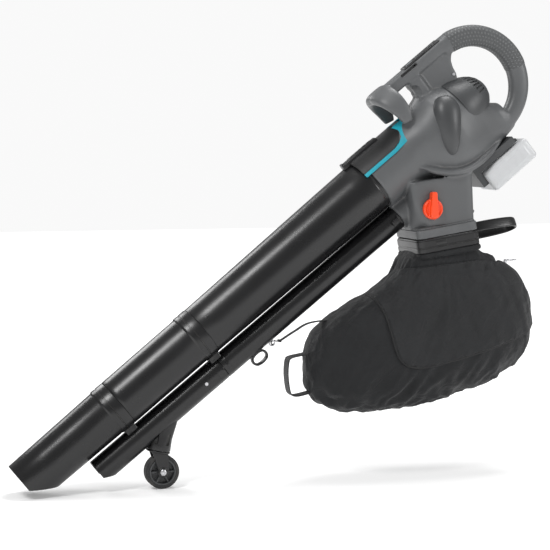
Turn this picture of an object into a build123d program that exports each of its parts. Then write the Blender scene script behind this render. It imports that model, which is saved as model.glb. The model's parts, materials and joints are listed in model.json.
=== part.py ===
from build123d import *

import math
import os

# Battery leaf vacuum mulcher in its working posture: nozzle low in front (-X), loop handle high
# at the back (+X), castor wheel on the ground. Millimetres, +Z up, +Y to the machine's right.
#
# Most pieces are drawn in the tool frame: x along the suction tube from the mouth to the motor,
# z square to it on the upper side, y across. TOOL turns that frame into the working posture.

# ---- overall sizes -------------------------------------------------------------------------
TILT = 39.0                 # slope of the suction tube above the ground
MOUTH_HEIGHT = 21.3         # height of the mouth's centre above the ground
NOZZLE_LENGTH = 228.0       # mouth to the first tube joint
MIDDLE_LENGTH = 192.0       # first joint to the second
UPPER_LENGTH = 448.0        # second joint to the housing's rim
WALL = 2.6                  # wall of the suction tubes
SKIN = 3.0                  # wall of the housing
FIT = 0.2                   # gap between pieces that are pushed or screwed together
RUN = 0.05                  # radial gap of a shaft in its bearing
MOVE = 0.6                  # gap beside a piece that moves
SEAM = 0.01                 # half the gap between the housing's halves

# ---- suction tube --------------------------------------------------------------------------
MOUTH_R = 44.0              # outer radius at the mouth
NOZZLE_R = 46.8             # outer radius of the nozzle just before its collar
MIDDLE_R = 49.0             # outer radius of the middle tube
UPPER_FRONT_R = 49.8        # outer radius of the upper tube at the second joint
UPPER_REAR_R = 55.5         # outer radius of the upper tube at the rim
COLLAR_STEP = 1.6           # how far a joint's collar stands proud
COLLAR_LENGTH = 28.0
SPIGOT_LENGTH = 26.0
MOUTH_CUT = 4.0             # the chin is cut level, this far under the mouth's centre

# ---- blow tube -----------------------------------------------------------------------------
BLOW_R = 24.6
BLOW_WALL = 2.2
BLOW_START = 117.0          # front of the blow tube behind the mouth's plane
BLOW_FRONT_DROP = 75.6      # axis of the blow tube below the tool axis, at its front
BLOW_REAR_DROP = 82.6       # and at the rim
BLOW_SOCKET = 22.0          # length of the blow tube inside the housing
CATCH_HALF = 6.0            # half the width of the tube catch
CATCH_Y = -BLOW_R - 4.5     # hinge line of the tube catch, beside the blow tube
EYELET_AT = 488.0           # shoulder strap eyelet, along the tool axis
EYELET_LENGTH = 36.0
EYELET_HEIGHT = 26.0
EYELET_WIRE = 5.0
EYELET_WIDTH = 14.0
HOOK_AT = 524.0             # ring for the bag's front strap

# ---- castor --------------------------------------------------------------------------------
WHEEL_R = 32.0
WHEEL_WIDTH = 26.0
TYRE = 6.0
AXLE_R = 3.0
CASTOR_AT = 280.0           # where the swivel axis meets the blow tube, along the tool axis
CASTOR_SEAM = 66.0          # swivel plane below the blow tube's axis
CROWN = 4.0                 # thickness of the fork's crown
CASTOR_LEAN = 11.5          # lean of the swivel axis from upright
CASTOR_TRAIL = 14.0
SWIVEL_R = 5.0
STEM_R = 23.0
CHEEK = 3.0                 # thickness of a fork cheek
CAP = 3.0                   # thickness of an axle's head

# ---- housing -------------------------------------------------------------------------------
RIM = NOZZLE_LENGTH + MIDDLE_LENGTH + UPPER_LENGTH
CATCH_AT = RIM - 4.0        # and its place along the tool axis
BARREL_R = 59.0
BORE_R = 53.4
FAN_AT = RIM + 117.0        # front of the impeller chamber
FAN_DEPTH = 60.0
FAN_R = 68.0                # inner radius of the impeller chamber
MOTOR_DEPTH = 82.0
MOTOR_BAY_R = 58.0
TRIM = 2.2                  # thickness of the top panel and the coloured trims
NECK_HALF = 58.0            # half the width of the outlet neck
RIM_DROP = 109.0            # lowest point of the housing's rim below the tool axis
PORT_AT = RIM + 46.2        # centre of the bag port along the tool axis
PORT_DROP = 161.7           # and below it
PORT_TILT = 9.0             # slope of the port's plane above the ground
SKIRT = 126.0               # outer side of the square skirt round the port
SKIRT_HEIGHT = 17.0
SKIRT_CORNER = 15.0

# ---- handles -------------------------------------------------------------------------------
LOOP_AT = RIM + 283.0       # centre of the loop handle along the tool axis
LOOP_RISE = 14.6            # and above it
LOOP_R = 98.5               # radius of the loop's centre line
GRIP_HEIGHT = 38.0          # section of the grip, in the loop's plane
GRIP_WIDTH = 33.0           # and across it
ARM_TOP = 129.0
ARM_BOTTOM = 94.0
ARM_START = RIM + 112.0
ARM_WIDTH = 34.0
SLOT_START = ARM_START + 20 # shoulder strap slot through the arm
SLOT_LENGTH = 40.0
SLOT_HEIGHT = 6.6
STRUT_TOP = -72.0
STRUT_BOTTOM = -107.0
HOOP_FOOT = RIM + 134.0     # where the front hoop stands on the barrel
HOOP_LEAN = 22.0
HOOP_HALF = 46.0
HOOP_THICK = 13.0
HOOP_DEPTH = 26.0
HOOP_TOP = 138.0
SCREW_POINTS = [(RIM + 190, 60.0), (RIM + 262, 60.0), (RIM + 200, STRUT_TOP - 18), (RIM + 262, STRUT_TOP - 18)]

# ---- motor and impeller --------------------------------------------------------------------
SHAFT_R = 4.0
MOTOR_R = 30.0
MOTOR_LENGTH = 64.0
BEARING_R = 11.0
BEARING_WIDTH = 7.0
IMPELLER_R = 61.0
BLADES = 8
CAP_R = 38.0                # motor cap at the back
CAP_LENGTH = 40.0
VENT_SLOTS = 7

# ---- battery -------------------------------------------------------------------------------
PACK_LENGTH = 114.0
PACK_WIDTH = 75.0
PACK_TOP = -124.0
PACK_BOTTOM = -170.0
PACK_AT = RIM + 183.0       # front face of the pack
RAIL_HALF = 25.5            # half the width of the pack's T-shaped head
RAIL_STEM = 20.5            # and of its stem
RAIL_SHELF = 2.5            # thickness of the lips that carry the head
RAIL_TOP = STRUT_BOTTOM - 4.5
RAIL_LIP = RAIL_TOP - 6.5
CELL_R = 9.0
CELL_LENGTH = 65.0

# ---- mode selector -------------------------------------------------------------------------
SELECTOR_AT = RIM + 51.0
SELECTOR_DROP = 102.0
SELECTOR_SHAFT_R = 4.0
KNOB_R = 20.0
KNOB_THICK = 9.0
FLAP_LENGTH = 48.0

# ---- bag and its frame ---------------------------------------------------------------------
FRAME_SIDE = 130.0
FRAME_HEIGHT = 28.0
FRAME_WALL = 8.0
SEAL = 1.4                  # rubber seal between frame and skirt
LATCH_AT = FRAME_SIDE / 2 + 5.0
LATCH_RISE = -8.0           # latch pin below the port's plane
BAG_HALF = 104.0
BAG_SHOULDER = 72.0
BAG_CLOTH = 1.8
FLAP_CLOTH = 3.0            # padded front flap
FLAP_GAP = 0.4
WEBBING = 2.4
PULLER_X = 145.5            # zip puller's pivot behind the port's centre
PULLER_Z = -56.0
# side outline of the bag round the port's centre
BAG_SIDE = [(-60, -34), (-90, -51), (-124, -83), (-165, -109), (-214, -133), (-255, -166), (-280, -203),
            (-286, -241), (-276, -291), (-232, -329), (-178, -342), (-96, -335), (20, -314), (130, -281),
            (192, -228), (210, -199), (202, -151), (187, -101), (148, -63), (103, -48), (64, -18)]

TOOL = Location((0, 0, MOUTH_HEIGHT), (0, -TILT, 0))
PORT = Location((PORT_AT, 0, -PORT_DROP), (0, TILT - PORT_TILT, 0))
PORT_CENTRE = (TOOL * PORT).position
BLOW_TILT = math.degrees(math.atan2(BLOW_REAR_DROP - BLOW_FRONT_DROP, RIM - BLOW_START))

parts = {}


def point_in(frame, x, y, z):
    """Place that a frame's own (x, y, z) has outside it."""
    return (frame * Pos(x, y, z)).position


def in_tool(shape):
    """Move a piece from the tool frame to the working posture."""
    return TOOL * shape


def in_port(shape):
    """Move a piece from the bag port's frame (z out of the housing, upwards) to the posture."""
    return TOOL * PORT * shape


def rod(radius, start, end):
    """Round bar along the tool axis."""
    return Pos((start + end) / 2, 0, 0) * Rot(0, 90, 0) * Cylinder(radius, end - start)


def pin(radius, length, at, rise, centre=0.0):
    """Round bar across the machine."""
    return Pos(at, centre, rise) * Rot(90, 0, 0) * Cylinder(radius, length)


def block(start, end, low, high, half, centre=0.0):
    """Box in the tool frame, from its length, height and half its width."""
    return Pos((start + end) / 2, centre, (low + high) / 2) * Box(end - start, 2 * half, high - low)


def turned(*points):
    """Solid of revolution about the tool axis, from (along, radius) points."""
    outline = Polyline(*[(along, 0, radius) for along, radius in points], close=True)
    return revolve(make_face(outline), Axis.X)


def slab(points, half, centre=0.0):
    """Side outline of (along, rise) points, given thickness across the machine."""
    outline = Polyline(*[(along, centre, rise) for along, rise in points], close=True)
    return extrude(make_face(outline), amount=half, dir=(0, 1, 0), both=True)


def frame_box(side, low, high, corner):
    """Square block with rounded upright edges in the port's frame."""
    outline = Rectangle(side, side)
    if corner > 0:
        outline = fillet(outline.vertices(), corner)
    return extrude(Pos(0, 0, low) * outline, high - low)


def blow_axis(shape):
    """Lay a piece drawn on the tool axis along the blow tube, its front at BLOW_START."""
    return Location((BLOW_START, 0, -BLOW_FRONT_DROP), (0, BLOW_TILT, 0)) * Pos(-BLOW_START, 0, 0) * shape


def below_ground_cut(height):
    """Half space under a level plane at the given height of the working posture, in the tool frame."""
    return TOOL.inverse() * Pos(0, 0, height - 200) * Box(1200, 400, 400)


# ---- suction tube --------------------------------------------------------------------------
def suction_nozzle():
    """Mouthpiece: square above, cut level with the ground below, with a collar behind."""
    neck = NOZZLE_LENGTH - COLLAR_LENGTH
    proud = NOZZLE_R + COLLAR_STEP
    tube = turned((0, MOUTH_R - WALL), (0, MOUTH_R), (neck, NOZZLE_R), (neck + COLLAR_STEP, proud),
                  (NOZZLE_LENGTH, proud), (NOZZLE_LENGTH, NOZZLE_R - WALL), (neck, NOZZLE_R - WALL))
    return tube - below_ground_cut(MOUTH_HEIGHT - MOUTH_CUT)


def socketed(start, end, socket_r, front_r, rear_r, tail):
    """Length of tube whose front spigot fits the socket in front; tail lists its rear end."""
    spigot = socket_r - WALL - FIT
    front = [(start - SPIGOT_LENGTH, spigot - WALL), (start - SPIGOT_LENGTH, spigot), (start, spigot)]
    inside = [(start + 3 * WALL, front_r - WALL), (start, spigot - WALL)]
    return turned(*front, (start, front_r), *tail, *inside)


def suction_tubes():
    """Three lengths of suction tube, each pushed into the next one."""
    joint_1 = NOZZLE_LENGTH
    joint_2 = NOZZLE_LENGTH + MIDDLE_LENGTH + COLLAR_LENGTH / 2
    parts["suction_nozzle"] = in_tool(suction_nozzle())
    neck = joint_2 - COLLAR_LENGTH
    proud = MIDDLE_R + COLLAR_STEP
    tail = [(neck, MIDDLE_R), (neck + COLLAR_STEP, proud), (joint_2, proud), (joint_2, MIDDLE_R - WALL),
            (neck, MIDDLE_R - WALL)]
    middle = socketed(joint_1, joint_2, NOZZLE_R, NOZZLE_R + COLLAR_STEP, MIDDLE_R, tail)
    parts["suction_middle_tube"] = in_tool(middle)
    spigot = BORE_R - FIT
    tail = [(RIM, UPPER_REAR_R), (RIM, spigot), (RIM + SPIGOT_LENGTH, spigot),
            (RIM + SPIGOT_LENGTH, spigot - WALL),
            (RIM, spigot - WALL), (RIM - 3 * WALL, UPPER_REAR_R - WALL)]
    upper = socketed(joint_2, RIM, MIDDLE_R, UPPER_FRONT_R, UPPER_REAR_R, tail)
    parts["suction_upper_tube"] = in_tool(upper)


# ---- blow tube -----------------------------------------------------------------------------
def blow_tubes():
    """Front and rear length of the blow tube under the suction tube."""
    joint = NOZZLE_LENGTH + MIDDLE_LENGTH
    inner = BLOW_R - BLOW_WALL
    front = rod(BLOW_R, BLOW_START, joint) - rod(inner, BLOW_START - 1, joint + 1)
    front -= rod(BLOW_R - BLOW_WALL / 2, joint - 20, joint + 1)
    bevel = slab([(BLOW_START - 5, -BLOW_R - 1), (BLOW_START - 5, -9.0), (BLOW_START, -9.0),
                  (BLOW_START + 24, -BLOW_R - 1)], BLOW_R + 1)
    front = blow_axis(front) - Pos(0, 0, -BLOW_FRONT_DROP) * bevel
    parts["blow_nozzle"] = in_tool(front)
    rear_end = RIM + BLOW_SOCKET
    rear = rod(BLOW_R, joint, rear_end) - rod(inner, joint - 30, rear_end + 1)
    rear += rod(BLOW_R - BLOW_WALL / 2 - FIT / 2, joint - 20 + FIT, joint) - rod(inner - 0.6, joint - 30, joint)
    parts["blow_tube"] = in_tool(blow_axis(rear))


def tube_saddle(at, tube_r):
    """Snap-in block that holds the two tubes together, between collar and blow tube."""
    body = block(at - 12, at + 12, -BLOW_FRONT_DROP - 4, -tube_r + 10, 15)
    body -= rod(tube_r + FIT, at - 20, at + 20)
    return body - blow_axis(rod(BLOW_R + FIT, at - 20, at + 20))


def tube_fittings():
    """Saddles between the tubes and the eyelet and ring under the blow tube."""
    front = NOZZLE_LENGTH - COLLAR_LENGTH / 2
    rear = NOZZLE_LENGTH + MIDDLE_LENGTH
    parts["front_tube_saddle"] = in_tool(tube_saddle(front, NOZZLE_R + COLLAR_STEP))
    parts["rear_tube_saddle"] = in_tool(tube_saddle(rear, MIDDLE_R + COLLAR_STEP))
    parts["strap_eyelet"] = in_tool(strap_eyelet())
    parts["strap_hook_ring"] = in_tool(hook_ring())


def blow_drop(at):
    """Drop of the blow tube's axis below the tool axis at a place along it."""
    return BLOW_FRONT_DROP + (at - BLOW_START) * math.tan(math.radians(BLOW_TILT))


def strap_eyelet():
    """Oblong eyelet under the blow tube for a shoulder strap."""
    under = -blow_drop(EYELET_AT) - BLOW_R
    ring = extrude(SlotOverall(EYELET_LENGTH, EYELET_HEIGHT), EYELET_WIDTH / 2, both=True)
    ring -= extrude(SlotOverall(EYELET_LENGTH - 2 * EYELET_WIRE, EYELET_HEIGHT - 2 * EYELET_WIRE),
                    EYELET_WIDTH, both=True)
    ring = Pos(EYELET_AT, 0, under - EYELET_HEIGHT / 2 + 2.5) * Rot(90, 0, 0) * ring
    foot = block(EYELET_AT - 13, EYELET_AT + 13, under - 4, under + 8, EYELET_WIDTH / 2 + 2)
    gap = Pos(EYELET_AT, 0, under - EYELET_HEIGHT / 2 + 2.5) * Rot(90, 0, 0) * extrude(
        SlotOverall(EYELET_LENGTH - 2 * EYELET_WIRE, EYELET_HEIGHT - 2 * EYELET_WIRE), 20, both=True)
    return (ring + foot - gap) - blow_axis(rod(BLOW_R + 0.02, EYELET_AT - 40, EYELET_AT + 40))


def hook_ring():
    """Small ring under the blow tube that takes the hook of the bag's front strap."""
    under = -blow_drop(HOOK_AT) - BLOW_R
    ring = pin(6.5, 4.0, HOOK_AT, under - 5.0) - pin(3.6, 6.0, HOOK_AT, under - 5.0)
    foot = block(HOOK_AT - 6, HOOK_AT + 6, under - 1.2, under + 4, 4.0)
    return (ring + foot) - blow_axis(rod(BLOW_R + 0.02, HOOK_AT - 20, HOOK_AT + 20))


def nozzle_screw():
    """Screw that locks the front of the blow tube to the rear saddle."""
    at = NOZZLE_LENGTH + MIDDLE_LENGTH - 45
    top = blow_drop(at)
    head = Pos(at, -BLOW_R - 0.9, -top) * Rot(90, 0, 0) * Cylinder(3.2, 1.7)
    return head - blow_axis(rod(BLOW_R + 0.02, at - 10, at + 10))


# ---- castor --------------------------------------------------------------------------------
def castor_frame():
    """Frame on the swivel axis: origin on the blow tube's axis, z up the swivel axis."""
    start = point_in(TOOL, CASTOR_AT, 0, -blow_drop(CASTOR_AT))
    return Location(start, (0, CASTOR_LEAN, 0))


def castor_depth():
    """Depth of the wheel's centre below the blow tube's axis, along the swivel axis."""
    lean = math.radians(CASTOR_LEAN)
    height = castor_frame().position.Z
    return (height - WHEEL_R - CASTOR_TRAIL * math.sin(lean)) / math.cos(lean)


def castor_fork(depth, cheek_half):
    """Crown that turns on the pivot, with two cheeks that hold the axle."""
    crown_at = -CASTOR_SEAM - MOVE - CROWN / 2
    fork = Pos(0, 0, crown_at) * Cylinder(STEM_R, CROWN)
    hub = Pos(CASTOR_TRAIL, 0, -depth) * Rot(90, 0, 0)
    for side in (-1, 1):
        outline = [(-16, crown_at + CROWN / 2), (16, crown_at + CROWN / 2), (CASTOR_TRAIL + 9, -depth),
                   (CASTOR_TRAIL - 9, -depth)]
        middle = side * (cheek_half + CHEEK / 2)
        fork += slab(outline, CHEEK / 2, middle)
        fork += Pos(0, middle, 0) * hub * Cylinder(10, CHEEK)
    fork -= Pos(0, 0, crown_at) * Cylinder(SWIVEL_R + RUN, 4 * CROWN)
    fork -= hub * Cylinder(AXLE_R + RUN / 5, 4 * WHEEL_WIDTH)
    return fork


def castor():
    """Stem under the blow tube with its swivelling fork and wheel."""
    frame = castor_frame()
    depth = castor_depth()
    cheek_half = WHEEL_WIDTH / 2 + 2 * MOVE
    near_tube = TOOL * blow_axis(rod(BLOW_R + FIT, CASTOR_AT - 90, CASTOR_AT + 90))
    socket = 12.0
    stem = frame * Pos(0, 0, (10 - CASTOR_SEAM) / 2 - 5) * Cone(STEM_R, STEM_R - 3, CASTOR_SEAM - 10)
    hole = frame * Pos(0, 0, -CASTOR_SEAM) * Cylinder(SWIVEL_R, 2 * socket)
    parts["castor_stem"] = (stem - near_tube - hole).solids().sort_by(Axis.Z)[0]
    low = CASTOR_SEAM + MOVE + CROWN
    pivot = Pos(0, 0, -(low + CASTOR_SEAM - socket) / 2) * Cylinder(SWIVEL_R, low - CASTOR_SEAM + socket)
    parts["castor_pivot"] = frame * pivot
    parts["castor_fork"] = frame * castor_fork(depth, cheek_half)
    turn = frame * Pos(CASTOR_TRAIL, 0, -depth) * Rot(90, 0, 0)
    rim = Cylinder(WHEEL_R - TYRE, WHEEL_WIDTH - 2) - Cylinder(AXLE_R + RUN, 60)
    recess = Cylinder(WHEEL_R - TYRE - 4, 7) - Cylinder(8, 7)
    rim -= Pos(0, 0, WHEEL_WIDTH / 2 - 3) * recess
    rim -= Pos(0, 0, -WHEEL_WIDTH / 2 + 3) * recess
    tyre = fillet(Cylinder(WHEEL_R, WHEEL_WIDTH).edges(), 3) - Cylinder(WHEEL_R - TYRE, 60)
    parts["castor_wheel"] = turn * rim
    parts["castor_tyre"] = turn * tyre
    axle = Cylinder(AXLE_R, 2 * (cheek_half + CHEEK + CAP))
    for side in (-1, 1):
        axle += Pos(0, 0, side * (cheek_half + CHEEK + CAP / 2)) * Cylinder(6, CAP)
    parts["castor_axle"] = turn * axle


# ---- housing -------------------------------------------------------------------------------
def skirt_corner(side, rise):
    """Point of the port's frame, as (along, rise) in the tool frame."""
    point = point_in(PORT, side, 0, rise)
    return point.X, point.Z


def neck_outline(inset=0.0):
    """Side outline of the outlet neck in the tool frame."""
    half = SKIRT / 2 - inset
    front_low = skirt_corner(-half, SKIRT_HEIGHT - inset)
    rear_low = skirt_corner(half, SKIRT_HEIGHT - inset)
    return [(RIM + inset, -30), (RIM + inset, -RIM_DROP + 4), front_low, rear_low,
            (RIM + 157 - inset, -139), (RIM + 167 - inset, -RIM_DROP), (RIM + 167 - inset, -30)]


def loop_path(radius_a, radius_b):
    """Half ring of the loop handle with an oval section, open towards the front."""
    section = Plane((LOOP_AT, 0, LOOP_RISE + LOOP_R), x_dir=(0, 1, 0), z_dir=(1, 0, 0))
    oval = section * Ellipse(radius_b, radius_a)
    return revolve(oval, Axis((LOOP_AT, 0, LOOP_RISE), (0, 1, 0)), 180)


def arm_block(inset):
    """Straight bar from the front hoop to the loop's top."""
    return block(ARM_START + inset, LOOP_AT + 1, ARM_BOTTOM + inset, ARM_TOP - inset, ARM_WIDTH / 2 - inset)


def strut_block(inset):
    """Straight bar under the motor that carries the battery dock."""
    low = STRUT_BOTTOM + inset
    return block(RIM + 150 + inset, LOOP_AT + 1, low, STRUT_TOP - inset, ARM_WIDTH / 2 - inset)


def housing_outer():
    """Everything that the housing fills from outside."""
    fan_end = FAN_AT + FAN_DEPTH
    body = rod(BARREL_R, RIM, FAN_AT + 5)
    body += rod(FAN_R + SKIN, FAN_AT - SKIN, fan_end + SKIN)
    body += rod(MOTOR_BAY_R + SKIN, fan_end, fan_end + MOTOR_DEPTH)
    body += slab(neck_outline(), NECK_HALF)
    body += PORT * frame_box(SKIRT, 0, SKIRT_HEIGHT + 1, SKIRT_CORNER)
    body += arm_block(0)
    body += strut_block(0)
    body += loop_path(GRIP_HEIGHT / 2, GRIP_WIDTH / 2)
    web = [(RIM + 178, 40), (RIM + 178, ARM_BOTTOM + 4), (RIM + 272, ARM_BOTTOM + 4), (RIM + 274, 68),
           (RIM + 258, 40)]
    body += slab(web, 11)
    body += block(RIM + 185, fan_end + MOTOR_DEPTH - 4, STRUT_TOP - 6, -44, 15)
    return body


def housing_inner():
    """Hollows of the housing: bore, impeller chamber, motor bay, outlet and grip."""
    fan_end = FAN_AT + FAN_DEPTH
    bore = rod(BORE_R, RIM - 1, FAN_AT + 1)
    chamber = rod(FAN_R, FAN_AT, fan_end)
    bay = rod(MOTOR_BAY_R, fan_end - 1, fan_end + MOTOR_DEPTH - SKIN)
    exhaust = rod(CAP_R - 4, fan_end, fan_end + MOTOR_DEPTH + 1)
    duct = slab(neck_outline(SKIN), NECK_HALF - SKIN)
    duct -= rod(BORE_R + SKIN, RIM - 10, FAN_AT - SKIN)
    duct -= rod(MOTOR_BAY_R + SKIN, fan_end, fan_end + 40)
    duct -= block(fan_end, fan_end + 40, -75, 0, 80)
    port = PORT * frame_box(SKIRT - 2 * SKIN, -1, SKIRT_HEIGHT + 2, SKIRT_CORNER - SKIN)
    socket = blow_axis(rod(BLOW_R + FIT, RIM - 5, RIM + BLOW_SOCKET + 1))
    arm = arm_block(SKIN)
    grip = loop_path(GRIP_HEIGHT / 2 - SKIN, GRIP_WIDTH / 2 - SKIN)
    return [bore, chamber, bay, exhaust, duct, port, socket, arm, grip]


def housing():
    """Housing split into a left and a right half."""
    shell = housing_outer()
    for hollow in housing_inner():
        shell -= hollow
    shell -= pin(SELECTOR_SHAFT_R + 3, 2 * NECK_HALF + 2, SELECTOR_AT, -SELECTOR_DROP)
    shell -= block(SLOT_START, SLOT_START + SLOT_LENGTH, ARM_TOP - 1.5 - SLOT_HEIGHT, ARM_TOP - 1.5, ARM_WIDTH)
    shell -= block(ARM_START + 80, LOOP_AT - 8, ARM_TOP - SKIN - 1, ARM_TOP + 1, 9)
    for at, rise in SCREW_POINTS:
        shell -= pin(1.6, 22, at, rise)
        shell -= pin(3.4, 36, at, rise, centre=-28)
    shell += TOOL.inverse() * valve_ledge() + catch_ears()
    left = split(shell, bisect_by=Plane.XZ.offset(SEAM), keep=Keep.TOP)
    right = split(shell, bisect_by=Plane.XZ.offset(-SEAM), keep=Keep.BOTTOM)
    parts["left_housing"] = in_tool(left)
    parts["right_housing"] = in_tool(right)


def housing_screws():
    """Screw of the blow tube and the four screws of the housing."""
    screws = [in_tool(nozzle_screw()).solid()]
    for at, rise in SCREW_POINTS:
        screw = pin(1.5, 20, at, rise) + pin(3.0, 3, at, rise, centre=-11.5)
        screws.append(in_tool(screw).solid())
    parts["screws"] = Compound(children=screws)


def front_hoop():
    """Arch over the barrel: the second hand's hold, leaning forwards."""
    foot = 30.0
    height = HOOP_TOP - foot
    outer = Rectangle(2 * HOOP_HALF, height, align=(Align.CENTER, Align.MIN))
    outer = fillet(outer.vertices().group_by(Axis.Y)[-1], 30)
    inner = Rectangle(2 * (HOOP_HALF - HOOP_THICK), height - HOOP_THICK, align=(Align.CENTER, Align.MIN))
    inner = fillet(inner.vertices().group_by(Axis.Y)[-1], 20)
    arch = extrude(outer, HOOP_DEPTH / 2, both=True) - extrude(inner, HOOP_DEPTH, both=True)
    arch = Location((HOOP_FOOT, 0, foot), (0, -HOOP_LEAN, 0)) * Rot(0, 0, 90) * Rot(90, 0, 0) * arch
    arch -= rod(BARREL_R + TRIM + FIT, RIM, FAN_AT - SKIN)
    arch -= rod(BARREL_R, RIM, FAN_AT + 5)
    arch -= rod(FAN_R + SKIN, FAN_AT - SKIN, FAN_AT + FAN_DEPTH + SKIN)
    arch -= arm_block(0)
    parts["front_hoop"] = in_tool(arch)


def trim_pieces():
    """Dark top panel, its two coloured trims and the rail that locks the tube."""
    length = FAN_AT - SKIN - RIM - 0.2
    ring = rod(BARREL_R + TRIM, RIM, RIM + length) - rod(BARREL_R, RIM - 1, FAN_AT)
    panel = ring & block(RIM, RIM + length - 14, 30, 90, 90)
    rail = block(RIM - 26, RIM + 66, 50, 66, 9) - rod(BARREL_R + TRIM, RIM - 40, RIM + 90)
    rail -= rod(UPPER_REAR_R + MOVE, RIM - 60, RIM)
    parts["top_panel"] = in_tool(panel)
    parts["tube_lock_rail"] = in_tool(rail)
    trim = ring & block(RIM, RIM + length - 14, 21, 29.9, 90)
    trim += ring & block(RIM + length - 14, RIM + length, 21, 56, 90)
    for name, side in (("left_trim", -1), ("right_trim", 1)):
        keep = Pos(RIM + length / 2, side * 50, 0) * Box(400, 100, 400)
        parts[name] = in_tool(trim & keep)


def side_covers():
    """Bean-shaped dark cheeks on both sides of the impeller housing."""
    centre = FAN_AT + FAN_DEPTH - 6
    outer = FAN_R + SKIN
    outline = extrude(SlotOverall(112, 40, rotation=90), 90, both=True)
    bean = Pos(centre, 0, 2) * Rot(0, 14, 0) * Rot(90, 0, 0) * outline
    shell = rod(outer + 7, FAN_AT - SKIN, FAN_AT + FAN_DEPTH + SKIN) - rod(outer, RIM, LOOP_AT)
    shell = shell & bean
    shell -= slab(neck_outline(), NECK_HALF + 0.01)
    for name, side in (("left_side_cover", -1), ("right_side_cover", 1)):
        keep = Pos(centre, side * 60, 0) * Box(400, 118, 400)
        piece = shell & keep
        parts[name] = in_tool(piece.solids().sort_by(SortBy.VOLUME)[-1])


def grip_cover():
    """Soft cover on the upper half of the loop."""
    outer = loop_path(GRIP_HEIGHT / 2 + 1.2, GRIP_WIDTH / 2 + 1.2) - loop_path(GRIP_HEIGHT / 2, GRIP_WIDTH / 2)
    wedge = slab([(LOOP_AT, LOOP_RISE), (LOOP_AT + 20, LOOP_RISE + 150), (LOOP_AT + 190, LOOP_RISE + 150),
                  (LOOP_AT + 190, LOOP_RISE - 10)], 40)
    parts["grip_cover"] = in_tool(outer & wedge)


# ---- controls ------------------------------------------------------------------------------
def controls():
    """Thumb strip on the arm with its power key, speed rocker and charge window."""
    start = ARM_START + 78
    end = LOOP_AT - 6
    top = ARM_TOP
    panel = block(start, end, top, top + 2.4, 13) + block(start + 2, end - 2, top - 4, top, 8.6)
    power_at = end - 16
    rocker_at = end - 46
    lens_at = start + 16
    panel -= Pos(power_at, 0, top) * Cylinder(7.0 + MOVE, 20)
    panel -= block(rocker_at - 12, rocker_at + 12, top - 10, top + 10, 6 + MOVE)
    panel -= pin(1.5 + RUN, 16, rocker_at, top - 1)
    panel -= block(lens_at - 9, lens_at + 9, top - 10, top + 10, 3)
    parts["control_panel"] = in_tool(panel)
    parts["power_key"] = in_tool(Pos(power_at, 0, top - 0.4) * Cylinder(7.0, 8.4))
    rocker = block(rocker_at - 11, rocker_at + 11, top - 3, top + 4.2, 6)
    rocker += pin(1.5, 15, rocker_at, top - 1)
    parts["speed_rocker"] = in_tool(rocker)
    parts["charge_window"] = in_tool(block(lens_at - 8.9, lens_at + 8.9, top - 2, top + 2.6, 2.9))
    board = block(start + 4, end - 4, top - 14, top - 12.4, 11)
    parts["control_board"] = in_tool(board)


# ---- motor and impeller --------------------------------------------------------------------
def impeller():
    """Impeller, shredder blade, their nut and the shaft they turn on."""
    fan_end = FAN_AT + FAN_DEPTH
    back = fan_end - 14
    disc = rod(IMPELLER_R, back - 3, back)
    hub = rod(13, back - 34, back)
    wheel = disc + hub
    for i in range(BLADES):
        blade = block(back - 30, back - 1, 10, IMPELLER_R - 1, 1.3)
        wheel += Rot(360 * i / BLADES, 0, 0) * blade
    wheel -= rod(SHAFT_R, FAN_AT - 20, fan_end)
    parts["impeller"] = in_tool(wheel)
    blade_at = back - 34 - 3
    cutter = block(blade_at, blade_at + 3, -46, 46, 8)
    cutter += block(blade_at, blade_at + 3, -8, 8, 46)
    cutter -= rod(SHAFT_R, blade_at - 5, blade_at + 8)
    parts["shredder_blade"] = in_tool(cutter)
    nut = rod(8, blade_at - 7, blade_at) - rod(SHAFT_R, blade_at - 8, blade_at + 1)
    parts["impeller_nut"] = in_tool(nut)
    motor_front = fan_end + 6
    shaft_end = motor_front + MOTOR_LENGTH + BEARING_WIDTH - 2
    parts["motor_shaft"] = in_tool(rod(SHAFT_R, blade_at - 7, shaft_end))


def motor():
    """Motor with its mount and two bearings."""
    fan_end = FAN_AT + FAN_DEPTH
    mount = rod(FAN_R - FIT, fan_end - 4, fan_end) - rod(BEARING_R, fan_end - 5, fan_end + 1)
    mount += rod(MOTOR_R + 6, fan_end, fan_end + 6) - rod(BEARING_R, fan_end - 1, fan_end + 7)
    front = fan_end + 6
    can = rod(MOTOR_R, front, front + MOTOR_LENGTH)
    can -= rod(SHAFT_R + 1, front - 1, front + MOTOR_LENGTH + 1)
    seat = front + MOTOR_LENGTH - BEARING_WIDTH
    can -= rod(BEARING_R, seat, seat + BEARING_WIDTH + 1)
    parts["motor_mount"] = in_tool(mount)
    parts["motor"] = in_tool(can)
    rings = []
    for at in (fan_end - 2, seat):
        ring = rod(BEARING_R, at, at + BEARING_WIDTH) - rod(SHAFT_R + RUN, at - 1, at + BEARING_WIDTH + 1)
        rings.append(in_tool(ring).solid())
    parts["motor_bearings"] = Compound(children=rings)


def motor_cap():
    """Round vented cap behind the motor."""
    start = FAN_AT + FAN_DEPTH + MOTOR_DEPTH
    cap = rod(CAP_R, start, start + CAP_LENGTH)
    cap = fillet(cap.edges().group_by(Axis.X)[-1], 14)
    cap -= rod(CAP_R - SKIN, start - 1, start + CAP_LENGTH - 12)
    for i in range(VENT_SLOTS):
        slot = block(start + 14, start + CAP_LENGTH - 3, CAP_R - 8, CAP_R + 4, 2)
        cap -= Rot(-50 - 80 * i / (VENT_SLOTS - 1), 0, 0) * slot
        cap -= Rot(50 + 80 * i / (VENT_SLOTS - 1), 0, 0) * slot
    parts["motor_cap"] = in_tool(cap)


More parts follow.
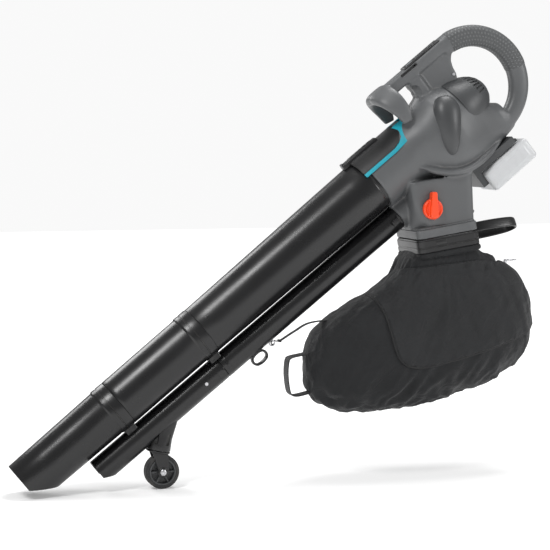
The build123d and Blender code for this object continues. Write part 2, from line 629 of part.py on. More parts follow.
# ---- battery -------------------------------------------------------------------------------
def battery():
    """Dock under the handle, its contacts, and the pack that slides onto it."""
    start = PACK_AT
    end = PACK_AT + PACK_LENGTH
    dock = block(start - 4, end - 20, RAIL_TOP, STRUT_BOTTOM, 29)
    for side in (-1, 1):
        dock += block(start - 4, end - 20, RAIL_LIP, RAIL_TOP, 1.5, centre=side * (RAIL_HALF + MOVE + 1.5))
        shelf = side * (RAIL_HALF + MOVE - 1.0)
        dock += block(start - 4, end - 20, RAIL_LIP - RAIL_SHELF, RAIL_LIP, 4.0, centre=shelf)
    dock += block(start - 13, start - MOVE, -148, STRUT_BOTTOM, 29)
    dock -= block(start - 11, start + 0.1, -141, -122, 20)
    parts["battery_dock"] = in_tool(dock)
    contacts = block(start - 11, start - 3, -140, -124, 18)
    parts["dock_terminals"] = in_tool(contacts)
    case = block(start, end, PACK_BOTTOM, PACK_TOP, PACK_WIDTH / 2)
    case = fillet(case.edges().filter_by(Axis.X) + case.edges().group_by(Axis.X)[-1], 6)
    head = block(start, end - 22, RAIL_LIP + MOVE, RAIL_TOP - MOVE, RAIL_HALF)
    head += block(start, end - 22, PACK_TOP - 1, RAIL_LIP + MOVE + 1, RAIL_STEM - MOVE)
    case += head
    case -= block(start + 9, end - 9, PACK_BOTTOM + 4, PACK_TOP - 3, PACK_WIDTH / 2 - 4)
    key_at = end - 13
    key_hole = block(key_at - 8, key_at + 4, PACK_TOP - 3.5, PACK_TOP + 1, 14)
    case -= key_hole
    parts["battery_case"] = in_tool(case)
    key = block(key_at - 8 + MOVE, key_at + 4 - MOVE, PACK_TOP - 2, PACK_TOP + 6, 14 - MOVE)
    parts["battery_release_key"] = in_tool(key)
    cells = []
    for row in range(5):
        at = start + 9 + CELL_R + 0.6 + row * (2 * CELL_R + 1.0)
        for level in range(2):
            rise = PACK_BOTTOM + 4 + CELL_R + 0.3 + level * (2 * CELL_R + 0.6)
            cells.append(pin(CELL_R, CELL_LENGTH, at, rise).solid())
    parts["battery_cells"] = in_tool(Compound(children=cells))


# ---- mode selector -------------------------------------------------------------------------
def selector_centre():
    """Place of the selector's axis in the working posture."""
    return point_in(TOOL, SELECTOR_AT, 0, -SELECTOR_DROP)


def mode_selector():
    """Knob, shaft and flap that send the air to the bag or to the blow tube."""
    centre = selector_centre()
    here = Pos(centre.X, 0, centre.Z)
    length = 2 * NECK_HALF + 8
    shaft = Rot(90, 0, 0) * Cylinder(SELECTOR_SHAFT_R, length)
    shaft += Pos(0, NECK_HALF + 2, 0) * Rot(90, 0, 0) * Cylinder(7, 2)
    parts["selector_shaft"] = here * shaft
    inner = NECK_HALF - SKIN - 1.5
    flap = Pos(0, 0, FLAP_LENGTH / 2) * Box(3, 2 * inner, FLAP_LENGTH)
    flap += Rot(90, 0, 0) * Cylinder(SELECTOR_SHAFT_R + 3, 2 * inner)
    flap -= Rot(90, 0, 0) * Cylinder(SELECTOR_SHAFT_R, 2 * inner + 2)
    parts["diverter_flap"] = here * flap
    face = NECK_HALF + 0.5
    disc = Pos(0, -face - KNOB_THICK / 2, 0) * Rot(90, 0, 0) * Cylinder(KNOB_R, KNOB_THICK)
    pointer = Pos(0, -face - KNOB_THICK / 2 - 3, 8) * Box(9, KNOB_THICK + 6, 50)
    knob = disc + pointer
    knob -= Rot(90, 0, 0) * Cylinder(SELECTOR_SHAFT_R, length)
    parts["mode_knob"] = here * knob
    bushes = []
    for side in (-1, 1):
        bush = Pos(0, side * (NECK_HALF - SKIN / 2), 0) * Rot(90, 0, 0) * Cylinder(SELECTOR_SHAFT_R + 3, SKIN)
        bush -= Rot(90, 0, 0) * Cylinder(SELECTOR_SHAFT_R + RUN, 3 * NECK_HALF)
        bushes.append((here * bush).solid())
    parts["selector_bushes"] = Compound(children=bushes)


def valve_ledge():
    """Level shelf at the back of the neck that the flap closes against."""
    centre = selector_centre()
    front = centre.X + FLAP_LENGTH + 1 + MOVE
    back = PORT_CENTRE.X + SKIRT / 2 * math.cos(math.radians(PORT_TILT))
    return Pos((front + back) / 2, 0, centre.Z - 4) * Box(back - front, 2 * NECK_HALF - SKIN, 3)


def catch_ears():
    """Ears on the rim that hold the tube catch's trunnions."""
    ears = None
    for side in (-1, 1):
        middle = -BLOW_REAR_DROP + side * (CATCH_HALF + MOVE + 1.5)
        ear = block(CATCH_AT - 4, RIM + 1, middle - 1.5, middle + 1.5, 4, centre=CATCH_Y)
        ears = ear if ears is None else ears + ear
    return ears - catch_trunnion(2.0 + RUN, 2 * CATCH_HALF + 8)


def catch_trunnion(radius, length):
    """Bar on the tube catch's hinge line, square to the tool axis."""
    return Pos(CATCH_AT, CATCH_Y, -BLOW_REAR_DROP) * Cylinder(radius, length)


def tube_catch():
    """Sprung catch in front of the rim that holds the blow tube in its socket."""
    low = -BLOW_REAR_DROP - CATCH_HALF
    high = -BLOW_REAR_DROP + CATCH_HALF
    catch = block(CATCH_AT - 17, CATCH_AT, low, high, 1.7, centre=CATCH_Y)
    catch += block(CATCH_AT - 17, CATCH_AT - 13, low, high, 2.6, centre=CATCH_Y - 0.9)
    catch += catch_trunnion(2.0, 2 * CATCH_HALF + 6)
    parts["tube_catch"] = in_tool(catch)


# ---- bag and its frame ---------------------------------------------------------------------
def bag_frame():
    """Square frame that clips onto the port, its seal and its carrying loop."""
    inner = FRAME_SIDE - 2 * FRAME_WALL
    ring = frame_box(FRAME_SIDE, -FRAME_HEIGHT, -SEAL - FIT, SKIRT_CORNER + 2)
    ring -= frame_box(inner, -FRAME_HEIGHT - 1, 1, SKIRT_CORNER - 4)
    for side in (-1, 1):
        ring += Pos(LATCH_AT - 2, side * 14, LATCH_RISE) * Box(8, 3, 9)
    ring -= Pos(LATCH_AT, 0, LATCH_RISE) * Rot(90, 0, 0) * Cylinder(2 + 0.01, 60)
    parts["bag_frame"] = in_port(ring)
    seal = frame_box(inner + 6, -SEAL - FIT, -FIT, SKIRT_CORNER - 2) - frame_box(inner, -3, 1, SKIRT_CORNER - 4)
    parts["port_seal"] = in_port(seal)
    start = FRAME_SIDE / 2
    outer = Pos(start + 46, 0) * SlotOverall(112, 62)
    hole = Pos(start + 46, 0) * SlotOverall(104, 54)
    loop = extrude(outer, 9, both=True) - extrude(hole, 10, both=True)
    loop = Pos(0, 0, -FRAME_HEIGHT / 2 + 4) * Rot(-22, 0, 0) * loop
    loop -= frame_box(FRAME_SIDE, -80, 80, 0)
    parts["frame_handle"] = in_port(loop)


def bag_latch():
    """Lever on the frame's rear edge that hooks over the skirt."""
    at = LATCH_AT
    pivot = LATCH_RISE
    parts["latch_pin"] = in_port(Pos(at, 0, pivot) * Rot(90, 0, 0) * Cylinder(2.0, 31))
    lever = Pos(at, 0, pivot) * Rot(90, 0, 0) * Cylinder(4, 24)
    lever += Pos(at + 1.5, 0, pivot + 17) * Box(3, 24, 34)
    lever += Pos(at + 6, 0, pivot + 34) * Rot(0, 40, 0) * Box(3, 24, 18)
    lever -= Pos(at, 0, pivot) * Rot(90, 0, 0) * Cylinder(2 + RUN, 60)
    parts["bag_latch_lever"] = in_port(lever)


def bag_section(shrink):
    """Side outline of the bag round its middle, drawn in by a share of its size."""
    middle_x = sum(x for x, z in BAG_SIDE) / len(BAG_SIDE)
    middle_z = sum(z for x, z in BAG_SIDE) / len(BAG_SIDE)
    return [(middle_x + (x - middle_x) * shrink, middle_z + (z - middle_z) * shrink) for x, z in BAG_SIDE]


def bag_form(grow):
    """Plain bag body; grow is how far its outline is from the outer face."""
    share = 1 + grow / 150
    faces = []
    far = BAG_HALF + FLAP_GAP + FLAP_CLOTH
    for y, shrink in ((-BAG_HALF - grow, 0.72), (-BAG_SHOULDER, 1.0), (BAG_SHOULDER, 1.0), (far + grow, 0.72)):
        points = [(x, y, z) for x, z in bag_section(shrink * share)]
        faces.append(make_face(Polyline(*points, close=True)))
    return loft(faces, ruled=True)


def bag_place():
    """Level frame at the port's centre."""
    return Pos(PORT_CENTRE.X, 0, PORT_CENTRE.Z)


def bag():
    """Cloth bag below the frame and its padded front flap."""
    place = bag_place()
    port_cut = TOOL * PORT * frame_box(FRAME_SIDE + 60, -FRAME_HEIGHT, 80, 0)
    body = place * bag_form(0) - place * bag_form(-BAG_CLOTH)
    collar = TOOL * PORT * (frame_box(FRAME_SIDE - 4, -FRAME_HEIGHT - 30, -FRAME_HEIGHT, SKIRT_CORNER)
                            - frame_box(FRAME_SIDE - 12, -FRAME_HEIGHT - 50, 20, SKIRT_CORNER - 4))
    way_in = TOOL * PORT * frame_box(FRAME_SIDE - 12, -FRAME_HEIGHT - 60, 20, SKIRT_CORNER - 4)
    body = body + collar - way_in - port_cut
    parts["bag"] = body.solids().sort_by(SortBy.VOLUME)[-1]
    middle = -BAG_HALF - FLAP_GAP - FLAP_CLOTH / 2
    flap_points = [(x, middle, z) for x, z in bag_section(0.71)]
    flap = extrude(make_face(Polyline(*flap_points, close=True)), FLAP_CLOTH / 2, dir=(0, 1, 0), both=True)
    parts["bag_flap"] = place * flap


def strip(points, half, thick, centre=0.0):
    """Webbing that follows (along, height) points in the upright plane."""
    line = Polyline(*[(x, centre, z) for x, z in points])
    band = None
    for edge in line.edges():
        a = edge @ 0
        b = edge @ 1
        along = (b - a).normalized()
        off = Vector(-along.Z, 0, along.X) * thick / 2
        run = along * thick / 2
        corners = [a - run + off, b + run + off, b + run - off, a - run - off]
        piece = extrude(make_face(Polyline(*corners, close=True)), half, dir=(0, 1, 0), both=True)
        band = piece if band is None else band + piece
    return band


def bag_webbing():
    """End handle, front strap with its hook, and the zip puller."""
    place = bag_place()
    body = place * bag_form(0.3)
    grip_line = [(-276, -232), (-303, -236), (-309, -262), (-305, -298), (-296, -306), (-270, -303)]
    handle = strip(grip_line, 15, WEBBING)
    handle = place * handle - body
    parts["bag_end_handle"] = handle.solids().sort_by(SortBy.VOLUME)[-1]
    ring = point_in(TOOL, HOOK_AT, 0, -blow_drop(HOOK_AT) - BLOW_R - 5.0)
    hook_x = ring.X - PORT_CENTRE.X
    hook_z = ring.Z - PORT_CENTRE.Z
    strap_end = (hook_x + 16, hook_z + 3)
    strap = strip([strap_end, (-281, -180), (-262, -168)], 6, WEBBING)
    strap = place * strap - body
    parts["front_strap"] = strap.solids().sort_by(SortBy.VOLUME)[-1]
    hook = place * Pos(strap_end[0] - 9, 0, strap_end[1] - 1.5) * Rot(0, -12, 0) * Box(15 - WEBBING, 5, 2.4)
    hook -= TOOL * pin(6.5 + 0.4, 12, HOOK_AT, -blow_drop(HOOK_AT) - BLOW_R - 5.0)
    parts["strap_hook"] = hook.solids().sort_by(SortBy.VOLUME)[-1]
    puller = Torus(10.5, 1.0) + Pos(-12.5, 0, -3) * Box(5, 4, 9)
    parts["zip_puller"] = place * Pos(PULLER_X + 12.5, 0, PULLER_Z) * puller - body


def build_all():
    """Build every piece."""
    suction_tubes()
    blow_tubes()
    tube_fittings()
    castor()
    housing()
    housing_screws()
    front_hoop()
    trim_pieces()
    side_covers()
    grip_cover()
    controls()
    tube_catch()
    impeller()
    motor()
    motor_cap()
    battery()
    mode_selector()
    bag_frame()
    bag_latch()
    bag()
    bag_webbing()


def object_centre():
    """Middle of the whole object's footprint, on the ground."""
    boxes = [shape.bounding_box() for shape in parts.values()]
    low_x = min(box.min.X for box in boxes)
    high_x = max(box.max.X for box in boxes)
    low_y = min(box.min.Y for box in boxes)
    high_y = max(box.max.Y for box in boxes)
    return Vector((low_x + high_x) / 2, (low_y + high_y) / 2, min(box.min.Z for box in boxes))


build_all()
ORIGIN = object_centre()
os.makedirs("parts", exist_ok=True)
for node, shape in parts.items():
    export_step(Pos(-ORIGIN) * shape, f"parts/{node}.step")
print(len(parts), "pieces; origin", ORIGIN)
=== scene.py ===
import json
import logging
from collections.abc import Iterable, Sequence
from dataclasses import dataclass, field
from enum import Enum
from functools import cache
from math import atan2, copysign, cos, hypot, pi, radians, sin, sqrt, tan, tau

import bmesh
import bpy
from mathutils import Matrix, Vector, noise
from mathutils.bvhtree import BVHTree


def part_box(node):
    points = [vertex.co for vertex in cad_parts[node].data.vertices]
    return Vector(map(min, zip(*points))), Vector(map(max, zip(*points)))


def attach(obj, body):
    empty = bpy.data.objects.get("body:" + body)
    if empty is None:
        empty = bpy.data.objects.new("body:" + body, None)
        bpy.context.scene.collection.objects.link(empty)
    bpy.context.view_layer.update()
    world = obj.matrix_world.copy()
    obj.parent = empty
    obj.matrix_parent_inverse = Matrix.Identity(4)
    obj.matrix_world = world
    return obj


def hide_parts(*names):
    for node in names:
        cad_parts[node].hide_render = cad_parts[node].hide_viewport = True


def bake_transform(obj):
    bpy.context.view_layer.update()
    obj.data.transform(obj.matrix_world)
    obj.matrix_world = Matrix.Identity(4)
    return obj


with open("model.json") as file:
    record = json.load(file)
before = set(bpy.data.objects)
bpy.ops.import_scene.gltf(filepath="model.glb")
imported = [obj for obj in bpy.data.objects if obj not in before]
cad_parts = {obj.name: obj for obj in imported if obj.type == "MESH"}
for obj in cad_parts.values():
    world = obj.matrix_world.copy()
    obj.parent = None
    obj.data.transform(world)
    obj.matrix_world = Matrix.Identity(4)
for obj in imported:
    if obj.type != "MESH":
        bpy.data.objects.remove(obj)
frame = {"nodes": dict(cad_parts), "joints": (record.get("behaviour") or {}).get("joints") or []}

# Looks of a battery leaf vacuum mulcher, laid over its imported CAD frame. Lengths are millimetres in
# the space that a piece is drawn in, unless metres are named. A space's matrix puts them in place.

LOG = logging.getLogger("mulcher")
MM = 0.001
MERGE = 1e-3                    # vertices nearer than this are one
FAN_AT = 117.0                  # impeller behind the housing's rim
PORT_AT = (46.2, -161.7)        # middle of the bag port: behind the rim, above the tool axis
PORT_TURN = 30.0                # its turn from the tool axis, in degrees
BLOW_AT = (-751.0, -75.6)       # front end of the blow tube's axis
BLOW_TURN = 0.534               # its turn from the tool axis, in degrees
EYELET_AT = -380.0              # shoulder strap eyelet
HOOK_RING_AT = -344.0           # ring for the bag's front strap
HOOK_RING = 5.0                 # how far its middle hangs below the blow tube
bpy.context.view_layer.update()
NODES = frame["nodes"]
JOINTS = {joint["name"]: joint for joint in frame["joints"]}
Color = tuple[float, float, float]
Point = tuple[float, float, float]
Corner = tuple[float, float]
Thing, Node, Socket = bpy.types.Object, bpy.types.Node, bpy.types.NodeSocket


class Body(Enum):
    """CAD bodies that pieces ride on."""

    MACHINE = "machine"
    SELECTOR = "selector"
    POWER_KEY = "power_key"
    SPEED_ROCKER = "speed_rocker"
    BATTERY = "battery"
    BATTERY_KEY = "battery_key"
    CASTOR = "castor"
    CASTOR_WHEEL = "castor_wheel"
    BAG = "bag_assembly"
    LATCH = "latch_lever"
    PULLER = "zip_puller"
    CATCH = "tube_catch"


# ---- spaces ----
@dataclass(frozen=True)
class Space:
    """A right-handed frame of the machine, in which a piece is drawn in millimetres."""

    origin: Vector  # where the space's zero lies, in metres
    along: Vector  # direction of its x
    up: Vector  # direction of its z

    def matrix(self) -> Matrix:
        """Return the matrix from the space's millimetres to the machine's metres."""
        across = self.up.cross(self.along)
        turn = Matrix((self.along, across, self.up)).transposed().to_4x4()
        return Matrix.Translation(self.origin) @ turn @ Matrix.Scale(MM, 4)

    def place(self, x: float, y: float, z: float) -> Vector:
        """Return where a point of the space lies, in metres."""
        return self.matrix() @ Vector((x, y, z))

    def inner(self, x: float, z: float, turn_deg: float) -> "Space":
        """Return a space moved to (x, 0, z) and turned about its y axis.

        Args:
            x: New zero along this space's x.
            z: New zero along this space's z.
            turn_deg: Turn about y; a positive one lowers the new x axis.

        Returns:
            The new space.
        """
        turn = Matrix.Rotation(radians(turn_deg), 3, self.up.cross(self.along))
        return Space(self.place(x, 0, z), turn @ self.along, turn @ self.up)


def tool_space() -> Space:
    """Return the space whose x runs up the suction tube from the housing's rim."""
    spin = JOINTS["impeller_spin"]
    along = Vector(spin["axis"])
    up = Vector((-along.z, 0, along.x))
    return Space(Vector(spin["pos_m"]) - along * FAN_AT * MM, along, up)


def port_space(tool: Space) -> Space:
    """Return the space at the middle of the bag port, whose z points into the housing."""
    return tool.inner(*PORT_AT, PORT_TURN)


def joint_space(name: str) -> Space:
    """Return an upright space at a joint's place."""
    return Space(Vector(JOINTS[name]["pos_m"]), Vector((1, 0, 0)), Vector((0, 0, 1)))


# ---- forming meshes ----
def smoothstep(low: float, high: float, value: float) -> float:
    """Return 0 below low, 1 above high and a smooth rise between them."""
    share = min(max((value - low) / (high - low), 0.0), 1.0)
    return share * share * (3 - 2 * share)


def rounded_path(points: Sequence[Point], steps: int = 12) -> list[Vector]:
    """Return a smooth line through points.

    Args:
        points: Points that the line passes through.
        steps: Divisions between two points.

    Returns:
        Points along the line, both ends included.
    """
    knots = [Vector(p) for p in points]
    line = []
    for i in range(len(knots) - 1):
        before = knots[max(i - 1, 0)]
        after = knots[min(i + 2, len(knots) - 1)]
        start_pull = (knots[i + 1] - before) / 2
        end_pull = (after - knots[i]) / 2
        for step in range(steps):
            t = step / steps
            t2, t3 = t * t, t * t * t
            line.append(
                knots[i] * (2 * t3 - 3 * t2 + 1) + start_pull * (t3 - 2 * t2 + t) + knots[i + 1]
                * (3 * t2 - 2 * t3) + end_pull * (t3 - t2))
    line.append(knots[-1])
    return line


def links(verts: Iterable) -> list:
    """Return the edges at some vertices, each once and always in the same order."""
    return list(dict.fromkeys(edge for vert in verts for edge in vert.link_edges))


def moved(x: float, y: float, z: float) -> Matrix:
    """Return a shift."""
    return Matrix.Translation((x, y, z))


def turned(angle_deg: float, axis: str) -> Matrix:
    """Return a turn about X, Y or Z."""
    return Matrix.Rotation(radians(angle_deg), 4, axis)


class Form:
    """A mesh that is being shaped, in one space's millimetres."""

    def __init__(self) -> None:
        """Start an empty form."""
        self.bm = bmesh.new()

    def ring(
            self, matrix: Matrix, half_u: float, half_v: float, power: float = 2.0,
            sides: int = 40, lower: float | None = None, lower_power: float | None = None) -> list:
        """Add a closed section, from an ellipse (power 2) to nearly a rectangle (power 6 or more).

        Args:
            matrix: Place and turn of the section's plane.
            half_u: Half its size along the plane's x.
            half_v: Its reach along the plane's y.
            power: How square the section is.
            sides: Number of edges.
            lower: Its reach against the plane's y, if another one.
            lower_power: How square that half is.

        Returns:
            The section's edges.
        """
        verts = bmesh.ops.create_circle(self.bm, cap_ends=False, segments=sides, radius=1.0)[
            "verts"]
        for vert in verts:
            u, v = vert.co.x, vert.co.y
            below = v < 0 and lower is not None
            reach = lower if below else half_v
            square = lower_power if below and lower_power is not None else power
            vert.co.x = half_u * copysign(abs(u) ** (2 / square), u)
            vert.co.y = reach * copysign(abs(v) ** (2 / square), v)
        bmesh.ops.transform(self.bm, matrix=matrix, verts=verts)
        return links(verts)

    def skin(self, rings: Sequence[list], closed: bool = False) -> None:
        """Join sections one after another, and cap the two ends unless the run is closed."""
        pairs = list(zip(rings, rings[1:]))
        if closed:
            pairs.append((rings[-1], rings[0]))
        for first, second in pairs:
            bmesh.ops.bridge_loops(self.bm, edges=first + second)
        if not closed:
            bmesh.ops.holes_fill(self.bm, edges=rings[0] + rings[-1], sides=0)

    def sweep(
            self, line: Sequence[Vector], sizes: Sequence[Corner], power: float = 2.0,
            sides: int = 24, flat: Vector = Vector((0, 1, 0)), closed: bool = False) -> None:
        """Add a bar that follows a line.

        Args:
            line: Points along its middle.
            sizes: Half width along flat and half height, for each point.
            power: How square its section is.
            sides: Edges of a section.
            flat: Direction in which the half width is measured.
            closed: Whether the line's ends meet.
        """
        rings = []
        count = len(line)
        for i, point in enumerate(line):
            after = line[(i + 1) % count] if closed else line[min(i + 1, count - 1)]
            before = line[i - 1] if closed else line[max(i - 1, 0)]
            tangent = (after - before).normalized()
            width = (flat - tangent * flat.dot(tangent)).normalized()
            height = tangent.cross(width)
            matrix = Matrix((width, height, tangent)).transposed().to_4x4()
            matrix.translation = point
            rings.append(self.ring(matrix, sizes[i][0], sizes[i][1], power, sides))
        self.skin(rings, closed)

    def lathe(
            self, profile: Sequence[Corner], steps: int = 96, matrix: Matrix | None = None) -> None:
        """Spin (along, radius) points round the x axis.

        Args:
            profile: The outline; a closed wall starts and ends at the same point.
            steps: Divisions of the turn.
            matrix: Where the turned piece goes.
        """
        points = profile[:-1] if profile[0] == profile[-1] else profile
        before = set(self.bm.verts)
        verts = [self.bm.verts.new((x, 0, r)) for x, r in points]
        edges = [self.bm.edges.new(pair) for pair in zip(verts, verts[1:])]
        if profile[0] == profile[-1]:
            edges.append(self.bm.edges.new((verts[-1], verts[0])))
        bmesh.ops.spin(
            self.bm, geom=verts + edges, cent=(0, 0, 0), axis=(1, 0, 0), angle=tau, steps=steps,
            use_merge=True)
        made = [vert for vert in self.bm.verts if vert not in before]
        bmesh.ops.remove_doubles(self.bm, verts=made, dist=MERGE)
        if matrix is not None:
            made = [vert for vert in self.bm.verts if vert not in before]
            bmesh.ops.transform(self.bm, matrix=matrix, verts=made)

    def box(
            self, low: Point, high: Point, matrix: Matrix | None = None, round_to: float = 0.0,
            segments: int = 3) -> list:
        """Add a block between two corners.

        Args:
            low: Its lowest corner.
            high: Its highest corner.
            matrix: Where the block goes.
            round_to: Radius of its edges.
            segments: Divisions of a rounded edge.

        Returns:
            The block's vertices.
        """
        size = [h - l for l, h in zip(low, high)]
        middle = [(h + l) / 2 for l, h in zip(low, high)]
        shape = Matrix.Translation(middle) @ Matrix.Diagonal((*size, 1))
        verts = bmesh.ops.create_cube(self.bm, size=1.0, matrix=shape)["verts"]
        if round_to > 0:
            before = set(self.bm.verts).difference(verts)
            bmesh.ops.bevel(
                self.bm, geom=links(verts), offset=round_to, offset_type="OFFSET", affect="EDGES",
                segments=segments, profile=0.5, material=-1)
            verts = [vert for vert in self.bm.verts if vert not in before]
        if matrix is not None:
            bmesh.ops.transform(self.bm, matrix=matrix, verts=verts)
        return verts

    def disc(
            self, radius: float, low: float, high: float, matrix: Matrix, round_to: float = 0.0,
            sides: int = 64) -> None:
        """Add a round plate whose axis is the matrix's z.

        Args:
            radius: Its radius.
            low: Where it starts along the axis.
            high: Where it ends.
            matrix: Where the plate goes.
            round_to: Radius of its rims.
            sides: Edges of a rim.
        """
        cap = max(round_to, 0.0)
        profile = [(low, 0.0), (low, radius - cap)]
        for step in range(1, 4 if cap else 1):
            angle = pi / 2 * step / 4
            profile.append((low + cap * (1 - cos(angle)), radius - cap + cap * sin(angle)))
        profile.append((low + cap, radius))
        if cap:
            profile.append((high - cap, radius))
            for step in range(1, 4):
                angle = pi / 2 * step / 4
                profile.append((high - cap + cap * sin(angle), radius - cap + cap * cos(angle)))
        profile += [(high, radius - cap), (high, 0.0)]
        self.lathe(profile, sides, matrix @ Matrix.Rotation(-pi / 2, 4, "Y"))

    def bevel_sharp(self, width: float, segments: int = 2, angle_deg: float = 35.0) -> None:
        """Round every edge that is sharper than an angle.

        Args:
            width: Size of the rounding.
            segments: Its divisions.
            angle_deg: Edges flatter than this stay.
        """
        self.bm.normal_update()
        limit = radians(angle_deg)
        edges = [
            e for e in self.bm.edges if len(e.link_faces) == 2 and e.calc_face_angle(0) > limit]
        bmesh.ops.bevel(
            self.bm, geom=edges, offset=width, offset_type="OFFSET", affect="EDGES",
            segments=segments, profile=0.5, material=-1, clamp_overlap=True)

    def cut(self, point: Point, normal: Point, fill: bool = True) -> None:
        """Remove what lies beyond a plane, and close the cut.

        Args:
            point: A point on the plane.
            normal: The side that is removed.
            fill: Whether the cut is closed.
        """
        geom = self.bm.verts[:] + self.bm.edges[:] + self.bm.faces[:]
        made = bmesh.ops.bisect_plane(
            self.bm, geom=geom, plane_co=point, plane_no=normal, clear_outer=True)
        if fill:
            edges = [g for g in made["geom_cut"] if isinstance(g, bmesh.types.BMEdge)]
            bmesh.ops.triangle_fill(self.bm, edges=edges, use_beauty=True)

    def tidy(self) -> None:
        """Merge doubles and point the faces outwards."""
        bmesh.ops.remove_doubles(self.bm, verts=self.bm.verts[:], dist=MERGE)
        bmesh.ops.recalc_face_normals(self.bm, faces=self.bm.faces[:])

    def to_object(
            self, name: str, space: Space, angle_deg: float = 35.0, tidy: bool = True) -> Thing:
        """Turn the form into an object in its place.

        Args:
            name: The object's name.
            space: The space it was drawn in.
            angle_deg: Edges sharper than this stay sharp in the shading.
            tidy: Whether doubles are merged and normals recalculated.

        Returns:
            The object, with its place in its mesh.
        """
        if tidy:
            self.tidy()
        mesh = bpy.data.meshes.new(name)
        bmesh.ops.transform(self.bm, matrix=space.matrix(), verts=self.bm.verts[:])
        self.bm.to_mesh(mesh)
        self.bm.free()
        mesh.shade_smooth()
        mesh.set_sharp_from_angle(angle=radians(angle_deg))
        made = bpy.data.objects.new(name, mesh)
        bpy.context.scene.collection.objects.link(made)
        return made

    def settle(
            self, name: str, space: Space, finish: "Finish", replaces: Iterable[str] = (),
            body: Body = Body.MACHINE, sharp: float = 35.0, tidy: bool = True) -> Thing:
        """Turn the form into a finished piece that rides on its body.

        Args:
            name: The piece's name.
            space: The space it was drawn in.
            finish: Its finish.
            replaces: CAD nodes that it stands for.
            body: The CAD body it rides on.
            sharp: Edges sharper than this many degrees stay sharp in the shading.
            tidy: Whether doubles are merged and normals recalculated.

        Returns:
            The piece.
        """
        piece = self.to_object(name, space, sharp, tidy)
        settle(piece, body, finish, replaces)
        return piece


def baked(source: Thing, name: str) -> bpy.types.Mesh:
    """Return the mesh of an object with its modifiers applied.

    Args:
        source: The object.
        name: Name of the new mesh.

    Returns:
        The new mesh.
    """
    graph = bpy.context.evaluated_depsgraph_get()
    mesh = bpy.data.meshes.new_from_object(source.evaluated_get(graph))
    mesh.name = name
    return mesh


def scratch(form: Form, name: str) -> Thing:
    """Turn a form into a helper object that stays in its own millimetres."""
    form.tidy()
    mesh = bpy.data.meshes.new(name)
    form.bm.to_mesh(mesh)
    form.bm.free()
    made = bpy.data.objects.new(name, mesh)
    bpy.context.scene.collection.objects.link(made)
    return made


def taken(solid: Thing, *helpers: Thing) -> Form:
    """Return a helper object's finished mesh as a form, and remove the helpers.

    Args:
        solid: The object whose mesh is wanted.
        *helpers: Other objects that its modifiers used.

    Returns:
        The form.
    """
    mesh = baked(solid, "taken")
    out = Form()
    out.bm.from_mesh(mesh)
    bpy.data.meshes.remove(mesh)
    for item in (solid, *helpers):
        bpy.data.objects.remove(item)
    return out


def melt(form: Form, voxel: float, rounds: int, cutters: Sequence[Form] = ()) -> Form:
    """Melt overlapping shapes into one skin, soften its corners and cut hollows from it.

    Args:
        form: The overlapping closed shapes.
        voxel: Grid size, which sets how fine the skin is.
        rounds: How often the skin is softened.
        cutters: Forms that are taken away afterwards, one after another.

    Returns:
        A new form with one skin.
    """
    solid = scratch(form, "melting")
    remesh = solid.modifiers.new("remesh", "REMESH")
    remesh.mode = "VOXEL"
    remesh.voxel_size = voxel
    soften = solid.modifiers.new("soften", "SMOOTH")
    soften.factor = 0.6
    soften.iterations = rounds
    helpers = [scratch(cutter, "cutting") for cutter in cutters]
    for helper in helpers:
        knife = solid.modifiers.new("knife", "BOOLEAN")
        knife.operation = "DIFFERENCE"
        knife.solver = "EXACT"
        knife.object = helper
    return taken(solid, *helpers)


def carve(form: Form, cutter: Form, operation: str = "DIFFERENCE") -> Form:
    """Return a form with a closed cutter taken away from it, or with only what they share.

    Args:
        form: The closed form.
        cutter: The closed cutter.
        operation: DIFFERENCE, INTERSECT or UNION.

    Returns:
        A new form.
    """
    solid, helper = scratch(form, "carving"), scratch(cutter, "carver")
    knife = solid.modifiers.new("knife", "BOOLEAN")
    knife.operation, knife.solver, knife.object, knife.use_self = operation, "EXACT", helper, True
    return taken(solid, helper)


def prism(outline: Sequence[Corner], low: float, high: float, rounded: int = 0) -> Form:
    """Return a plate whose (x, z) outline reaches from one y to another.

    Args:
        outline: Corners of the outline.
        low: Where it starts across.
        high: Where it ends across.
        rounded: Divisions between corners of a smooth outline; none keeps it straight.

    Returns:
        The plate.
    """
    form = Form()
    points = [(x, low, z) for x, z in outline]
    if rounded:
        points = rounded_path([*points, points[0]], rounded)[:-1]
    verts = [form.bm.verts.new(point) for point in points]
    edges = [form.bm.edges.new(pair) for pair in zip(verts, verts[1:])]
    edges.append(form.bm.edges.new((verts[-1], verts[0])))
    bmesh.ops.contextual_create(form.bm, geom=edges)
    grown = bmesh.ops.extrude_face_region(form.bm, geom=form.bm.faces[:] + edges)["geom"]
    moved = [g for g in grown if isinstance(g, bmesh.types.BMVert)]
    bmesh.ops.translate(form.bm, verts=moved, vec=(0, high - low, 0))
    form.tidy()
    return form


def settle(piece: Thing, body: Body, finish: "Finish", replaces: Iterable[str] = ()) -> None:
    """Give a finished piece its material and its body, and hide the CAD nodes it stands for.

    Args:
        piece: The object.
        body: The CAD body it rides on.
        finish: Its finish.
        replaces: CAD nodes that it stands for.
    """
    piece.data.materials.clear()
    piece.data.materials.append(finish.material())
    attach(piece, body.value)
    if replaces:
        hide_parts(*replaces)
    LOG.info("%s rides on %s, %d faces", piece.name, body.value, len(piece.data.polygons))


